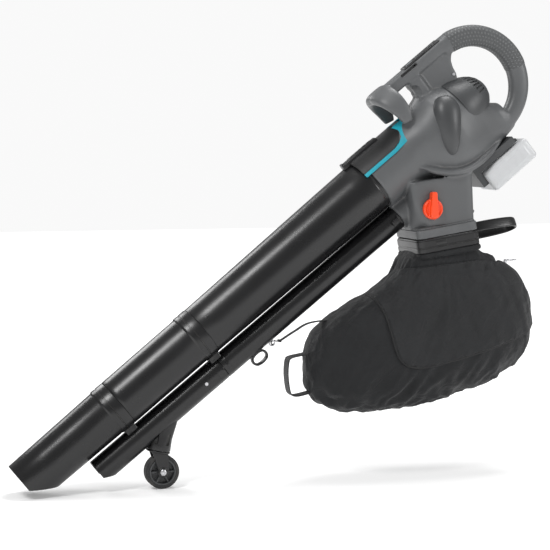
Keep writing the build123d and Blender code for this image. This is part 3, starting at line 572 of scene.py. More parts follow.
# ---- finishes ----
class Nodes:
    """Short way to add and link shader nodes in one tree."""

    def __init__(self, tree: bpy.types.NodeTree) -> None:
        """Keep the tree that nodes are added to."""
        self.tree = tree

    def add(self, kind: str, links: dict | None = None, **values) -> Node:
        """Add a node, set its properties and link or set its inputs.

        Args:
            kind: Type of the node.
            links: Inputs by name or number, each with a socket or a plain value.
            **values: Properties of the node.

        Returns:
            The node.
        """
        node = self.tree.nodes.new(kind)
        for key, value in values.items():
            setattr(node, key, value)
        for key, value in (links or {}).items():
            if isinstance(value, Socket):
                self.tree.links.new(value, node.inputs[key])
            else:
                node.inputs[key].default_value = value
        return node

    def math(self, operation: str, first: object, second: object = 0.0) -> Socket:
        """Add a math node and return its result."""
        return self.add("ShaderNodeMath", {0: first, 1: second}, operation=operation).outputs[0]

    def times(self, first: object, second: object) -> Socket:
        """Add a product and return its result."""
        return self.math("MULTIPLY", first, second)

    def plus(self, first: object, second: object) -> Socket:
        """Add a sum and return its result."""
        return self.math("ADD", first, second)

    def size(self, value: object) -> Socket:
        """Add an absolute value and return its result."""
        return self.math("ABSOLUTE", value)

    def noise(self, place: Socket, scale: float, detail: float = 2.0, twist: float = 0.0) -> Socket:
        """Add a noise texture and return its strength."""
        links = {"Vector": place, "Scale": scale, "Detail": detail, "Distortion": twist}
        return self.add("ShaderNodeTexNoise", links).outputs["Fac"]

    def group(self, tree: bpy.types.NodeTree, place: Socket, **values: float) -> dict[str, Socket]:
        """Add a node group that reads a place, and return its outputs by name."""
        node = self.add("ShaderNodeGroup", {"Vector": place, **values}, node_tree=tree)
        return {socket.name: socket for socket in node.outputs}

    def dress(self, shader: Node, **values) -> None:
        """Link or set a shader's inputs, whose names are written with _ for a space."""
        for key, value in values.items():
            socket = shader.inputs[key.replace("_", " ")]
            if isinstance(value, Socket):
                self.tree.links.new(value, socket)
            else:
                socket.default_value = value

    def bump(self, height: Socket, strength: float, distance: float, **more) -> Socket:
        """Add a bump and return its normal."""
        links = {"Height": height, "Strength": strength, "Distance": distance, **more}
        return self.add("ShaderNodeBump", links).outputs[0]

    def ramp(
            self, value: object, low: float, high: float, out_low: float,
            out_high: float) -> Socket:
        """Add a clamped map range and return its result."""
        links = {
            "Value": value, "From Min": low, "From Max": high, "To Min": out_low,
            "To Max": out_high}
        return self.add("ShaderNodeMapRange", links).outputs[0]

    def blend(self, share: object, first: object, second: object) -> Socket:
        """Add a colour mix and return its result."""
        node = self.add("ShaderNodeMix", {0: share, 6: first, 7: second}, data_type="RGBA")
        return node.outputs[2]


def group_tree(name: str, inputs: dict[str, tuple[str, float]], outputs: Sequence[str]) -> tuple:
    """Make an empty shader node group.

    Args:
        name: Name of the group.
        inputs: Name, type and value of each input.
        outputs: Names of its number outputs.

    Returns:
        The tree, a Nodes helper, the input node and the output node.
    """
    tree = bpy.data.node_groups.new(name, "ShaderNodeTree")
    for key, (kind, value) in inputs.items():
        socket = tree.interface.new_socket(key, in_out="INPUT", socket_type=kind)
        if kind == "NodeSocketFloat":
            socket.default_value = value
    for key in outputs:
        tree.interface.new_socket(key, in_out="OUTPUT", socket_type="NodeSocketFloat")
    nodes = Nodes(tree)
    return tree, nodes, nodes.add("NodeGroupInput"), nodes.add("NodeGroupOutput")


class Effects:
    """Shader node groups that several finishes share, each built once."""

    @staticmethod
    @cache
    def grain() -> bpy.types.NodeTree:
        """Return the fine texture of a mould's surface: a height and a slow change of tone."""
        inputs = {"Vector": ("NodeSocketVector", 0), "Scale": ("NodeSocketFloat", 900.0)}
        tree, nodes, start, end = group_tree("moulded_grain", inputs, ("Height", "Tone"))
        place = start.outputs["Vector"]
        fine = nodes.noise(place, start.outputs["Scale"])
        pits = nodes.add("ShaderNodeTexVoronoi", {"Vector": place, "Scale": start.outputs["Scale"]})
        slow = nodes.noise(place, 9.0, 3.0)
        height = nodes.plus(fine, nodes.times(pits.outputs["Distance"], 0.6))
        tree.links.new(height, end.inputs["Height"])
        tree.links.new(slow, end.inputs["Tone"])
        return tree

    @staticmethod
    @cache
    def wear() -> bpy.types.NodeTree:
        """Return rubbed edges and short scratches, as masks from 0 to 1."""
        inputs = {"Vector": ("NodeSocketVector", 0), "Edge": ("NodeSocketFloat", 0.5)}
        tree, nodes, start, end = group_tree("edge_wear", inputs, ("Edge", "Scratch", "Dust"))
        point = nodes.add("ShaderNodeNewGeometry").outputs["Pointiness"]
        crest = nodes.ramp(point, 0.515, 0.60, 0.0, 1.0)
        cloud = nodes.noise(start.outputs["Vector"], 55.0, 4.0)
        broken = nodes.ramp(cloud, 0.42, 0.68, 0.0, 1.0)
        edge = nodes.times(nodes.times(crest, broken), start.outputs["Edge"])
        along = nodes.add(
            "ShaderNodeMapping", {"Vector": start.outputs["Vector"], "Scale": (14.0, 90.0, 260.0)})
        lines = nodes.noise(along.outputs[0], 1.0, 5.0)
        scratch_mask = nodes.ramp(lines, 0.66, 0.72, 0.0, 1.0)
        patch = nodes.noise(start.outputs["Vector"], 5.0)
        scratch_mask = nodes.times(scratch_mask, nodes.ramp(patch, 0.5, 0.7, 0.0, 1.0))
        hollow = nodes.ramp(point, 0.49, 0.42, 0.0, 1.0)
        tree.links.new(edge, end.inputs["Edge"])
        tree.links.new(scratch_mask, end.inputs["Scratch"])
        tree.links.new(nodes.times(hollow, broken), end.inputs["Dust"])
        return tree

    @staticmethod
    @cache
    def weave() -> bpy.types.NodeTree:
        """Return a plain weave, seen square to the cloth on every side: height and thread mask."""
        inputs = {"Vector": ("NodeSocketVector", 0), "Threads": ("NodeSocketFloat", 1200.0)}
        tree, nodes, start, end = group_tree("plain_weave", inputs, ("Height", "Thread"))
        normal = nodes.add("ShaderNodeNewGeometry").outputs["Normal"]
        face = nodes.add("ShaderNodeSeparateXYZ", {0: normal})
        here = nodes.add("ShaderNodeSeparateXYZ", {0: start.outputs["Vector"]})
        x, y, z = here.outputs[0], here.outputs[1], here.outputs[2]
        nx, ny, nz = (nodes.size(face.outputs[i]) for i in range(3))
        side_on = nodes.math("GREATER_THAN", nx, nodes.math("MAXIMUM", ny, nz))
        level = nodes.math("GREATER_THAN", nz, nodes.math("MAXIMUM", nx, ny))
        u = nodes.add("ShaderNodeMix", {0: side_on, 2: x, 3: y}).outputs[0]
        v = nodes.add("ShaderNodeMix", {0: level, 2: z, 3: y}).outputs[0]
        u = nodes.times(u, start.outputs["Threads"])
        v = nodes.times(v, start.outputs["Threads"])
        wave_u = nodes.size(nodes.math("SINE", nodes.times(u, pi)))
        wave_v = nodes.size(nodes.math("SINE", nodes.times(v, pi)))
        over = nodes.plus(nodes.math("FLOOR", u), nodes.math("FLOOR", v))
        over = nodes.math("MODULO", nodes.size(over), 2.0)
        height = nodes.add("ShaderNodeMix", {0: over, 2: wave_u, 3: wave_v}).outputs[0]
        tree.links.new(height, end.inputs["Height"])
        tree.links.new(over, end.inputs["Thread"])
        return tree


@dataclass(frozen=True)
class Finish:
    """A surface finish, built as one material the first time it is asked for."""

    name: str  # the material's name
    color: Color  # its base colour
    slot: str = ""  # the record's material slot

    def material(self) -> bpy.types.Material:
        """Return the finish's material."""
        found = bpy.data.materials.get(self.name)
        if found is None:
            found = bpy.data.materials.new(self.name)
            found.use_nodes = True
            found.node_tree.nodes.clear()
            nodes = Nodes(found.node_tree)
            shader = nodes.add("ShaderNodeBsdfPrincipled")
            out = nodes.add("ShaderNodeOutputMaterial", {"Surface": shader.outputs[0]})
            out.location = (400, 0)
            where = nodes.add("ShaderNodeTexCoord")
            self.dress(nodes, shader, where)
            found.diffuse_color = (*self.color, 1)
        return found

    def shade(self, factor: float) -> tuple[float, float, float, float]:
        """Return the base colour made lighter or darker, with an alpha of 1."""
        return tuple(min(part * factor, 1.0) for part in self.color) + (1.0,)

    def dress(self, nodes: Nodes, shader: Node, where: Node) -> None:
        """Link the finish's nodes to the shader."""
        raise NotImplementedError


@dataclass(frozen=True)
class Plastic(Finish):
    """Moulded plastic with grain, slow tone changes, rubbed edges and dust in its corners."""

    rough: float = 0.45  # middle roughness
    grain: float = 0.12  # depth of the grain
    scale: float = 900.0  # fineness of the grain
    edge: float = 0.5  # how rubbed its edges are
    coat: float = 0.0  # weight of a clear gloss on top

    def dress(self, nodes: Nodes, shader: Node, where: Node) -> None:
        """Link grain, wear and dust to the shader."""
        place = where.outputs["Object"]
        grain = nodes.group(Effects.grain(), place, Scale=self.scale)
        wear = nodes.group(Effects.wear(), place, Edge=self.edge)
        tone = nodes.ramp(grain["Tone"], 0.35, 0.65, 0.0, 1.0)
        base = nodes.blend(tone, self.shade(0.93), self.shade(1.07))
        base = nodes.blend(wear["Edge"], base, self.shade(1.55))
        base = nodes.blend(nodes.times(wear["Dust"], 0.25), base, (0.33, 0.31, 0.28, 1))
        rough = nodes.ramp(grain["Tone"], 0.3, 0.7, self.rough - 0.04, self.rough + 0.05)
        rough = nodes.plus(rough, nodes.times(wear["Scratch"], 0.12))
        height = nodes.plus(grain["Height"], nodes.times(wear["Scratch"], -0.5))
        nodes.dress(
            shader, Base_Color=base, Roughness=rough, Coat_Weight=self.coat, Coat_Roughness=0.12,
            Normal=nodes.bump(height, self.grain, 0.0006))


@dataclass(frozen=True)
class Metal(Finish):
    """Bare or plated metal with drawn lines and dull spots."""

    rough: float = 0.32  # middle roughness
    lines: float = 0.15  # strength of the drawn lines

    def dress(self, nodes: Nodes, shader: Node, where: Node) -> None:
        """Link drawn lines and spots to the shader."""
        place = where.outputs["Object"]
        stretch = nodes.add("ShaderNodeMapping", {"Vector": place, "Scale": (40.0, 900.0, 900.0)})
        lines = nodes.noise(stretch.outputs[0], 1.0, 4.0)
        spots = nodes.noise(place, 70.0, 4.0)
        base = nodes.blend(nodes.ramp(spots, 0.4, 0.7, 0, 1), self.shade(1.0), self.shade(0.78))
        rough = nodes.ramp(spots, 0.35, 0.7, self.rough - 0.06, self.rough + 0.12)
        nodes.dress(
            shader, Metallic=1.0, Base_Color=base, Roughness=rough,
            Normal=nodes.bump(lines, self.lines, 0.0003))


@dataclass(frozen=True)
class Rubber(Finish):
    """Dull rubber with a fine grain and dust."""

    rough: float = 0.7  # middle roughness
    dust: float = 0.25  # how dusty it is

    def dress(self, nodes: Nodes, shader: Node, where: Node) -> None:
        """Link the grain and dust to the shader."""
        place = where.outputs["Object"]
        fine = nodes.noise(place, 700.0, 3.0)
        film = nodes.noise(place, 34.0, 5.0)
        share = nodes.ramp(film, 0.45, 0.75, 0.0, self.dust)
        base = nodes.blend(share, self.shade(1.0), (0.2, 0.19, 0.17, 1))
        rough = nodes.ramp(film, 0.3, 0.7, self.rough - 0.08, self.rough + 0.1)
        nodes.dress(shader, Base_Color=base, Roughness=rough, Normal=nodes.bump(fine, 0.3, 0.0005))


@dataclass(frozen=True)
class DottedRubber(Finish):
    """Soft grip with rows of small raised dots that follow the handle's own map."""

    pitch: float = 1.0  # dots per unit of the map

    def dress(self, nodes: Nodes, shader: Node, where: Node) -> None:
        """Link the dots to the shader."""
        spread = nodes.add("ShaderNodeSeparateXYZ", {0: where.outputs["UV"]})
        along, across = (nodes.times(spread.outputs[i], self.pitch) for i in range(2))
        row = nodes.math("FLOOR", across)
        shift = nodes.times(nodes.math("MODULO", nodes.size(row), 2.0), 0.5)
        u = nodes.math("SUBTRACT", nodes.math("FRACT", nodes.plus(along, shift)), 0.5)
        v = nodes.math("SUBTRACT", nodes.math("FRACT", across), 0.5)
        far = nodes.math("SQRT", nodes.plus(nodes.times(u, u), nodes.times(v, v)))
        dot = nodes.ramp(far, 0.34, 0.20, 0.0, 1.0)
        height = nodes.plus(dot, nodes.times(nodes.noise(where.outputs["Object"], 800.0), 0.12))
        nodes.dress(
            shader, Base_Color=nodes.blend(dot, self.shade(0.86), self.shade(1.5)),
            Roughness=nodes.ramp(dot, 0, 1, 0.62, 0.46), Normal=nodes.bump(height, 0.9, 0.0011))


@dataclass(frozen=True)
class Cloth(Finish):
    """Woven synthetic cloth with a soft sheen."""

    threads: float = 1300.0  # threads per metre
    depth: float = 0.35  # depth of the weave
    rough: float = 0.6  # middle roughness
    sheen: float = 0.25  # weight of the sheen

    def dress(self, nodes: Nodes, shader: Node, where: Node) -> None:
        """Link weave, creases and faint soiling to the shader."""
        place = where.outputs["Object"]
        weave = nodes.group(Effects.weave(), place, Threads=self.threads)
        soft = nodes.noise(place, 14.0, 5.0)
        tone = nodes.ramp(soft, 0.35, 0.7, 0.0, 1.0)
        base = nodes.blend(tone, self.shade(0.85), self.shade(1.2))
        base = nodes.blend(nodes.times(weave["Thread"], 0.18), base, self.shade(1.7))
        rough = nodes.ramp(soft, 0.3, 0.7, self.rough - 0.05, self.rough + 0.06)
        fold = nodes.bump(nodes.noise(place, 30.0, 4.0, 1.6), 0.5, 0.008)
        bump = nodes.bump(weave["Height"], self.depth, 0.0005, Normal=fold)
        nodes.dress(
            shader, Base_Color=base, Roughness=rough, Normal=bump, Sheen_Weight=self.sheen,
            Sheen_Roughness=0.45, Specular_IOR_Level=0.2)


@dataclass(frozen=True)
class Webbing(Finish):
    """Narrow woven band with ribs along its map."""

    def dress(self, nodes: Nodes, shader: Node, where: Node) -> None:
        """Link the ribs to the shader."""
        spread = nodes.add("ShaderNodeSeparateXYZ", {0: where.outputs["UV"]})
        ribs, rows = (
            nodes.size(nodes.math("SINE", nodes.times(spread.outputs[i], count))) for i,
            count in ((0, 1900.0), (1, 2400.0)))
        height = nodes.times(nodes.plus(ribs, rows), 0.5)
        nodes.dress(
            shader, Base_Color=nodes.blend(height, self.shade(0.6), self.shade(1.5)),
            Roughness=nodes.ramp(height, 0, 1, 0.72, 0.55), Normal=nodes.bump(height, 0.5, 0.0006))


@dataclass(frozen=True)
class Frosted(Finish):
    """Pale see-through plastic."""

    through: float = 0.35  # share of light that passes
    rough: float = 0.28  # its roughness

    def dress(self, nodes: Nodes, shader: Node, where: Node) -> None:
        """Link a cloudy tone and a fine grain to the shader."""
        place = where.outputs["Object"]
        base = nodes.blend(nodes.noise(place, 20.0, 3.0), self.shade(0.95), self.shade(1.05))
        nodes.dress(
            shader, Base_Color=base, Transmission_Weight=self.through, Roughness=self.rough,
            Normal=nodes.bump(nodes.noise(place, 900.0), 0.08, 0.0004))


HOUSING = Plastic(
    "satin_grey_plastic", (0.088, 0.091, 0.094), "housing", rough=0.42, grain=0.10, edge=0.35)
DARK = Plastic("dark_grey_plastic", (0.044, 0.046, 0.048), "dark", rough=0.4, grain=0.12, edge=0.4)
BLACK = Plastic(
    "black_satin_plastic", (0.009, 0.009, 0.0095), "dark", rough=0.32, grain=0.08, edge=0.5)
TUBE = Plastic(
    "black_tube_plastic", (0.0065, 0.0065, 0.007), "tube", rough=0.28, grain=0.05, scale=700.0,
    edge=0.6)
ACCENT = Plastic(
    "turquoise_plastic", (0.004, 0.28, 0.36), "accent", rough=0.38, grain=0.06, edge=0.2)
KNOB = Plastic(
    "orange_plastic", (0.86, 0.062, 0.008), "knob", rough=0.34, grain=0.05, edge=0.15, coat=0.15)
GRIP = DottedRubber("soft_dotted_grip", (0.078, 0.081, 0.083), "grip", pitch=150.0)
TYRE = Rubber("tyre_rubber", (0.016, 0.016, 0.017), "tyre", rough=0.66)
SEAL = Rubber("seal_rubber", (0.03, 0.03, 0.031), rough=0.75, dust=0.15)
STEEL = Metal("plated_steel", (0.58, 0.58, 0.6), "steel")
CAN = Metal("motor_can", (0.26, 0.26, 0.28), rough=0.45)
BRASS = Metal("contact_brass", (0.78, 0.56, 0.24), rough=0.3)
CELLS = Metal("cell_metal", (0.55, 0.57, 0.6), rough=0.25)
CLOTH = Cloth("bag_polyester", (0.0135, 0.014, 0.015), "cloth", sheen=0.06)
FLAP_CLOTH = Cloth(
    "flap_polyester", (0.0165, 0.017, 0.018), "cloth", threads=1300.0, depth=0.3, rough=0.54,
    sheen=0.06)
WEB = Webbing("black_webbing", (0.013, 0.013, 0.014), "web")
PACK = Frosted("frosted_case", (0.74, 0.75, 0.76), "battery")
LENS = Frosted("charge_lens", (0.5, 0.55, 0.58), "lens", through=0.6, rough=0.12)
BOARD = Plastic("circuit_board", (0.01, 0.12, 0.05), rough=0.35, grain=0.2, edge=0.1)


# ---- housing ----
# Turns a section's plane square to the tool axis, its x across the machine and its y up.
ACROSS_TOOL = Matrix(((0, 0, 1, 0), (1, 0, 0, 0), (0, 1, 0, 0), (0, 0, 0, 1)))


@dataclass(frozen=True)
class Loop:
    """Middle line of the round loop handle."""

    at: float = 283.0  # its centre behind the rim
    rise: float = 14.6  # and above the tool axis
    radius: float = 97.5  # its radius

    def point(self, angle: float) -> Vector:
        """Return the point of the line at an angle in radians."""
        return Vector((self.at + self.radius * cos(angle), 0, self.rise + self.radius * sin(angle)))


@dataclass(frozen=True)
class Section:
    """One section of the housing's body, square to the tool axis."""

    at: float  # place behind the rim
    rise: float  # height of its widest line above the tool axis
    half: float  # half its width
    top: float  # its reach above that line
    low: float  # its reach below it
    square: float = 2.0  # how square its lower half is


@dataclass
class Housing:
    """The moulded housing: barrel, volute, outlet neck, arm, loop handle and front hoop."""

    tool: Space
    voxel: float = 2.2  # how fine the melted skin is
    handle: Loop = Loop()  # the loop handle's middle line
    neck_half: float = 57.5  # half the outlet neck's width
    neck_front: float = -62.0  # front wall of the neck before the port's centre
    neck_rear: float = 62.0  # rear wall of the neck behind the port's centre, at the skirt
    lean: float = 0.11  # how much further back that wall is, per millimetre of height
    arm: tuple[float, float] = (104.0, 129.0)  # lowest and highest line of the arm
    slot: tuple[float, float] = (172.0, 214.0)  # first and last place of the strap slot
    # Sections of the body.
    sections: Sequence[Section] = field(
        default_factory=lambda: (Section(0, 0, 59, 59, 59), Section(55, 0, 59.3, 59, 59.3),
            Section(82, 0, 60.3, 59.5, 60, 2.05), Section(96, 0, 62.5, 60, 63, 2.2),
            Section(108, 0, 65, 60.5, 70, 2.6), Section(122, 0, 68, 61, 79, 3.0),
            Section(140, 0, 70, 62, 89, 3.3), Section(158, 0, 71, 66, 95, 3.2),
            Section(176, 0, 71, 72, 99, 2.9), Section(194, -2, 68.5, 72, 101, 2.5),
            Section(211, -4, 63, 69, 102, 2.2), Section(228, -7, 56, 64, 101, 2.0),
            Section(244, -12, 48, 57, 96, 1.9), Section(258, -22, 40, 50, 86, 2.0),
            Section(272, -38, 31, 41, 69, 2.2), Section(288, -55, 22, 24, 50, 2.4),
            Section(303, -66, 17.5, 23, 36, 2.6)))

    @staticmethod
    def port() -> Matrix:
        """Return the port's place in the tool's space, in millimetres."""
        return moved(PORT_AT[0], 0, PORT_AT[1]) @ turned(PORT_TURN, "Y")

    def build(self) -> None:
        """Build and settle every piece of the housing."""
        whole = melt(self.shapes(), self.voxel, 9, self.hollows())
        for side, name in ((-1, "left_housing"), (1, "right_housing")):
            half = self.half_of(whole, side)
            half.settle(f"{name}_shell", self.tool, HOUSING, [name], sharp=50, tidy=False)
        whole.bm.free()
        self.skirt()
        self.hoop()
        self.pods()

    def shapes(self) -> Form:
        """Return the overlapping closed shapes that the housing is melted from."""
        form = Form()
        form.skin(
            [form.ring(moved(s.at, 0, s.rise) @ ACROSS_TOOL, s.half, s.top, 2.0, 72, s.low,
                    s.square) for s in self.sections])
        self.add_neck(form)
        self.add_lip(form)
        self.add_handle(form)
        return form

    def add_neck(self, form: Form) -> None:
        """Add the upright outlet neck and the blow tube's socket."""
        neck = Form()
        rings = []
        for rise in (2, 17, 32, 50, 70, 90, 110):
            rear = self.neck_rear + self.lean * (rise - 17)
            place = self.port() @ moved((rear + self.neck_front) / 2, 0, rise)
            rings.append(neck.ring(place, (rear - self.neck_front) / 2, self.neck_half, 9.0, 88))
        neck.skin(rings)
        neck.cut((0, 0, 0), (-1, 0, 0))
        for vert in neck.bm.verts:
            vert.co.y *= self.narrowing(vert.co.x)
        self.join(form, neck)
        form.lathe(
            [(0, 0), (0, 28.4), (34, 28.8), (52, 25), (60, 17), (63, 0)], 64, moved(0, 0, -81.5))

    @staticmethod
    def narrowing(at: float) -> float:
        """Return the share of its full width that the neck has at a place behind the rim."""
        return 0.5 + 0.5 * smoothstep(-8, 34, at)

    @staticmethod
    def join(form: Form, other: Form) -> None:
        """Copy another form's mesh into a form, and free the other."""
        mesh = bpy.data.meshes.new("joining")
        other.tidy()
        other.bm.to_mesh(mesh)
        other.bm.free()
        form.bm.from_mesh(mesh)
        bpy.data.meshes.remove(mesh)

    def add_lip(self, form: Form) -> None:
        """Add the rolled lip that overhangs the neck on both sides and runs into the loop."""
        for side in (-1, 1):
            line = rounded_path(
                [(78, side * 55, -20), (90, side * 58, -34), (103, side * 61, -51),
                    (120, side * 62.5, -68), (140, side * 61, -82), (163, side * 55, -92.5),
                    (188, side * 45, -98.5), (214, side * 33, -101.5), (240, side * 22, -102),
                    (262, side * 13, -99.5)], 6)
            count = len(line)
            sizes = []
            for i in range(count):
                swell = smoothstep(0, 0.22, i / count) * (1 - 0.35 * smoothstep(0.7, 1, i / count))
                sizes.append((1.5 + 5.5 * swell, 1.5 + 5.5 * swell))
            form.sweep(line, sizes, 2.0, 16)

    def add_handle(self, form: Form) -> None:
        """Add the arm, the web under it, the loop and the band that leads it under the motor."""
        low, high = self.arm
        form.box((124, -17, low), (self.handle.at + 4, 17, high), round_to=6.5, segments=4)
        web = prism(
            [(178, 42), (178, low + 6), (316, low + 6), (300, 101), (286, 94), (276, 84),
                (271, 72), (269, 58), (262, 42)], -11, 11)
        web.bevel_sharp(2.5, 2)
        self.join(form, web)
        form.box((176, -20, 52), (206, 20, low + 4), round_to=8)
        line, sizes = [], []
        for step in range(49):
            angle = radians(96 - 190 * step / 48)
            line.append(self.handle.point(angle))
            back = smoothstep(0.55, 1.0, step / 48)
            sizes.append((17.2 + 0.8 * back, 20.0 - 2.4 * back))
        for point, half, tall in (
                ((262, 0, -86.5), 19, 18), ((244, 0, -88.5), 21, 18), ((222, 0, -90), 25, 18),
                ((196, 0, -90), 30, 17)):
            line.append(Vector(point))
            sizes.append((half, tall))
        form.sweep(line, sizes, 2.5, 40)

    def hollows(self) -> list[Form]:
        """Return what is cut from the melted body: ducts, chambers, slot and finger pocket."""
        duct, throat, bore, small, pocket, through = (Form() for _ in range(6))
        duct.box((-54, -50, -6), (54, 50, 52), self.port(), 6)
        duct.cut((34, 0, 0), (-1, 0, 0))
        throat.box((-52, -22, -6), (10, 22, 44), self.port(), 6)
        throat.cut((8, 0, 0), (-1, 0, 0))
        bore.lathe(
            [(-6, 0), (-6, 53.4), (117, 53.4), (117, 62), (166, 62), (166, 67.9), (177, 67.9),
                (177, 45), (238, 42), (238, 0)], 96)
        small.lathe([(-6, 0), (-6, 24.9), (7.5, 24.9), (7.5, 0)], 64, moved(0, 0, -82.6))
        high = self.arm[1]
        small.box((self.slot[0], -30, high - 7.6), (self.slot[1], 30, high - 1.9), round_to=2.2)
        for side in (-1, 1):
            place = moved(171, side * 36, 84) @ Matrix.Diagonal((22, 26, 21, 1))
            bmesh.ops.create_uvsphere(
                pocket.bm, u_segments=48, v_segments=32, radius=1.0, matrix=place)
        place = moved(165, 0, 85) @ Matrix.Diagonal((13, 40, 14, 1))
        bmesh.ops.create_uvsphere(
            through.bm, u_segments=48, v_segments=32, radius=1.0, matrix=place)
        return [bore, duct, throat, small, pocket, through]

    def half_of(self, whole: Form, side: int) -> Form:
        """Return one half of the housing with a fine groove along the seam.

        Args:
            whole: The whole housing.
            side: -1 for the left half, 1 for the right one.

        Returns:
            The half.
        """
        half = Form()
        half.bm = whole.bm.copy()
        geom = half.bm.verts[:] + half.bm.edges[:] + half.bm.faces[:]
        bmesh.ops.bisect_plane(
            half.bm, geom=geom, plane_co=(0, side * 1.1, 0), plane_no=(0, -side, 0))
        geom = half.bm.verts[:] + half.bm.edges[:] + half.bm.faces[:]
        made = bmesh.ops.bisect_plane(
            half.bm, geom=geom, plane_co=(0, side * 0.15, 0), plane_no=(0, -side, 0),
            clear_outer=True)
        half.bm.normal_update()
        rim = [g for g in made["geom_cut"] if isinstance(g, bmesh.types.BMVert)]
        for vert in rim:
            if max(edge.calc_length() for edge in vert.link_edges) < 5.0:
                vert.co -= Vector((vert.normal.x, 0, vert.normal.z)) * 0.7
        return half

    def skirt(self) -> None:
        """Build the square skirt round the outlet, with its step."""
        form = Form()
        place = self.port()
        for low, high, half, corner in ((0.2, 17.2, 63.0, 13.0), (17.0, 20.5, 60.5, 11.0)):
            rings = []
            for rise, inset in ((low, 0.8), (low + 0.8, 0.0), (high - 1.4, 0.0), (high, 1.8)):
                rings.append(
                    self.square_ring(form, place @ moved(0, 0, rise), half - inset, corner))
            inner = [
                self.square_ring(form, place @ moved(0, 0, rise), half - 5.5, corner - 4)
                for rise in (high, low)]
            form.skin(rings + inner, closed=True)
        form.settle("outlet_skirt", self.tool, HOUSING, sharp=40)

    @staticmethod
    def square_ring(form: Form, place: Matrix, half: float, corner: float) -> list:
        """Add a square section with round corners.

        Args:
            form: The form it is added to.
            place: Place of its plane.
            half: Half its side.
            corner: Radius of its corners.

        Returns:
            The section's edges.
        """
        before = set(form.bm.verts)
        made = bmesh.ops.create_grid(form.bm, x_segments=1, y_segments=1, size=half)["verts"]
        bmesh.ops.delete(form.bm, geom=list(made[0].link_faces), context="FACES_ONLY")
        bmesh.ops.bevel(
            form.bm, geom=made, offset=corner, offset_type="OFFSET", affect="VERTICES", segments=6,
            profile=0.5, material=-1)
        verts = [vert for vert in form.bm.verts if vert not in before]
        bmesh.ops.transform(form.bm, matrix=place, verts=verts)
        return links(verts)

    def hoop(self) -> None:
        """Build the canopy-shaped front hoop that stands on the barrel."""
        form = Form()
        arch = [
            (49, 56, 119, 9.5, 4.4), (50, 67, 121.5, 13.5, 5.4), (48.5, 82, 123, 17.0, 6.6),
            (43, 99, 122, 20.0, 8.0), (31, 113.5, 120.5, 22.5, 9.5), (13, 121, 119.5, 24.0, 11.0)]
        stations = [(-y, w, a, deep, thick) for y, w, a, deep, thick in arch]
        stations += [(0, 121.5, 120.5, 23.5, 11.5)]
        stations += [(y, w, a, deep, thick) for y, w, a, deep, thick in reversed(arch)]
        line = rounded_path([(a, y, w) for y, w, a, deep, thick in stations], 6)
        sizes = []
        for i in range(len(line)):
            spot = i / 6
            first = min(int(spot), len(stations) - 2)
            share = spot - first
            one, two = stations[first], stations[first + 1]
            sizes.append((one[3] + (two[3] - one[3]) * share, one[4] + (two[4] - one[4]) * share))
        form.sweep(line, sizes, 3.2, 32, flat=Vector((1, 0, 0)))
        form.box((118, -16.6, 106), (160, 16.6, 128.4), round_to=6)
        melted = melt(form, 1.7, 5)
        melted.settle("front_hoop_canopy", self.tool, HOUSING, ["front_hoop"], sharp=50, tidy=False)

    def pods(self) -> None:
        """Build the bulging dark covers on both sides of the impeller."""
        for side, name in ((-1, "left"), (1, "right")):
            form = Form()
            line = rounded_path(
                [(147, side * 50, -47), (152, side * 54, -36), (162, side * 57, -18),
                    (175, side * 57, 2), (188, side * 54, 20), (199, side * 49, 35),
                    (208, side * 43, 47)], 7)
            count = len(line) - 1
            sizes = []
            for i in range(count + 1):
                t = i / count
                end = sqrt(max(1 - abs(2 * t - 1) ** 3.0, 0.0))
                wide = 17.5 + 11.5 * smoothstep(0.0, 0.75, t)
                sizes.append((max(25.0 * end, 0.8), max(wide * end, 0.8)))
            form.sweep(line, sizes, 2.1, 44, flat=Vector((0, 1, 0)))
            melted = melt(form, 1.8, 8)
            melted.settle(f"{name}_impeller_pod", self.tool, DARK, [f"{name}_side_cover"], sharp=50)


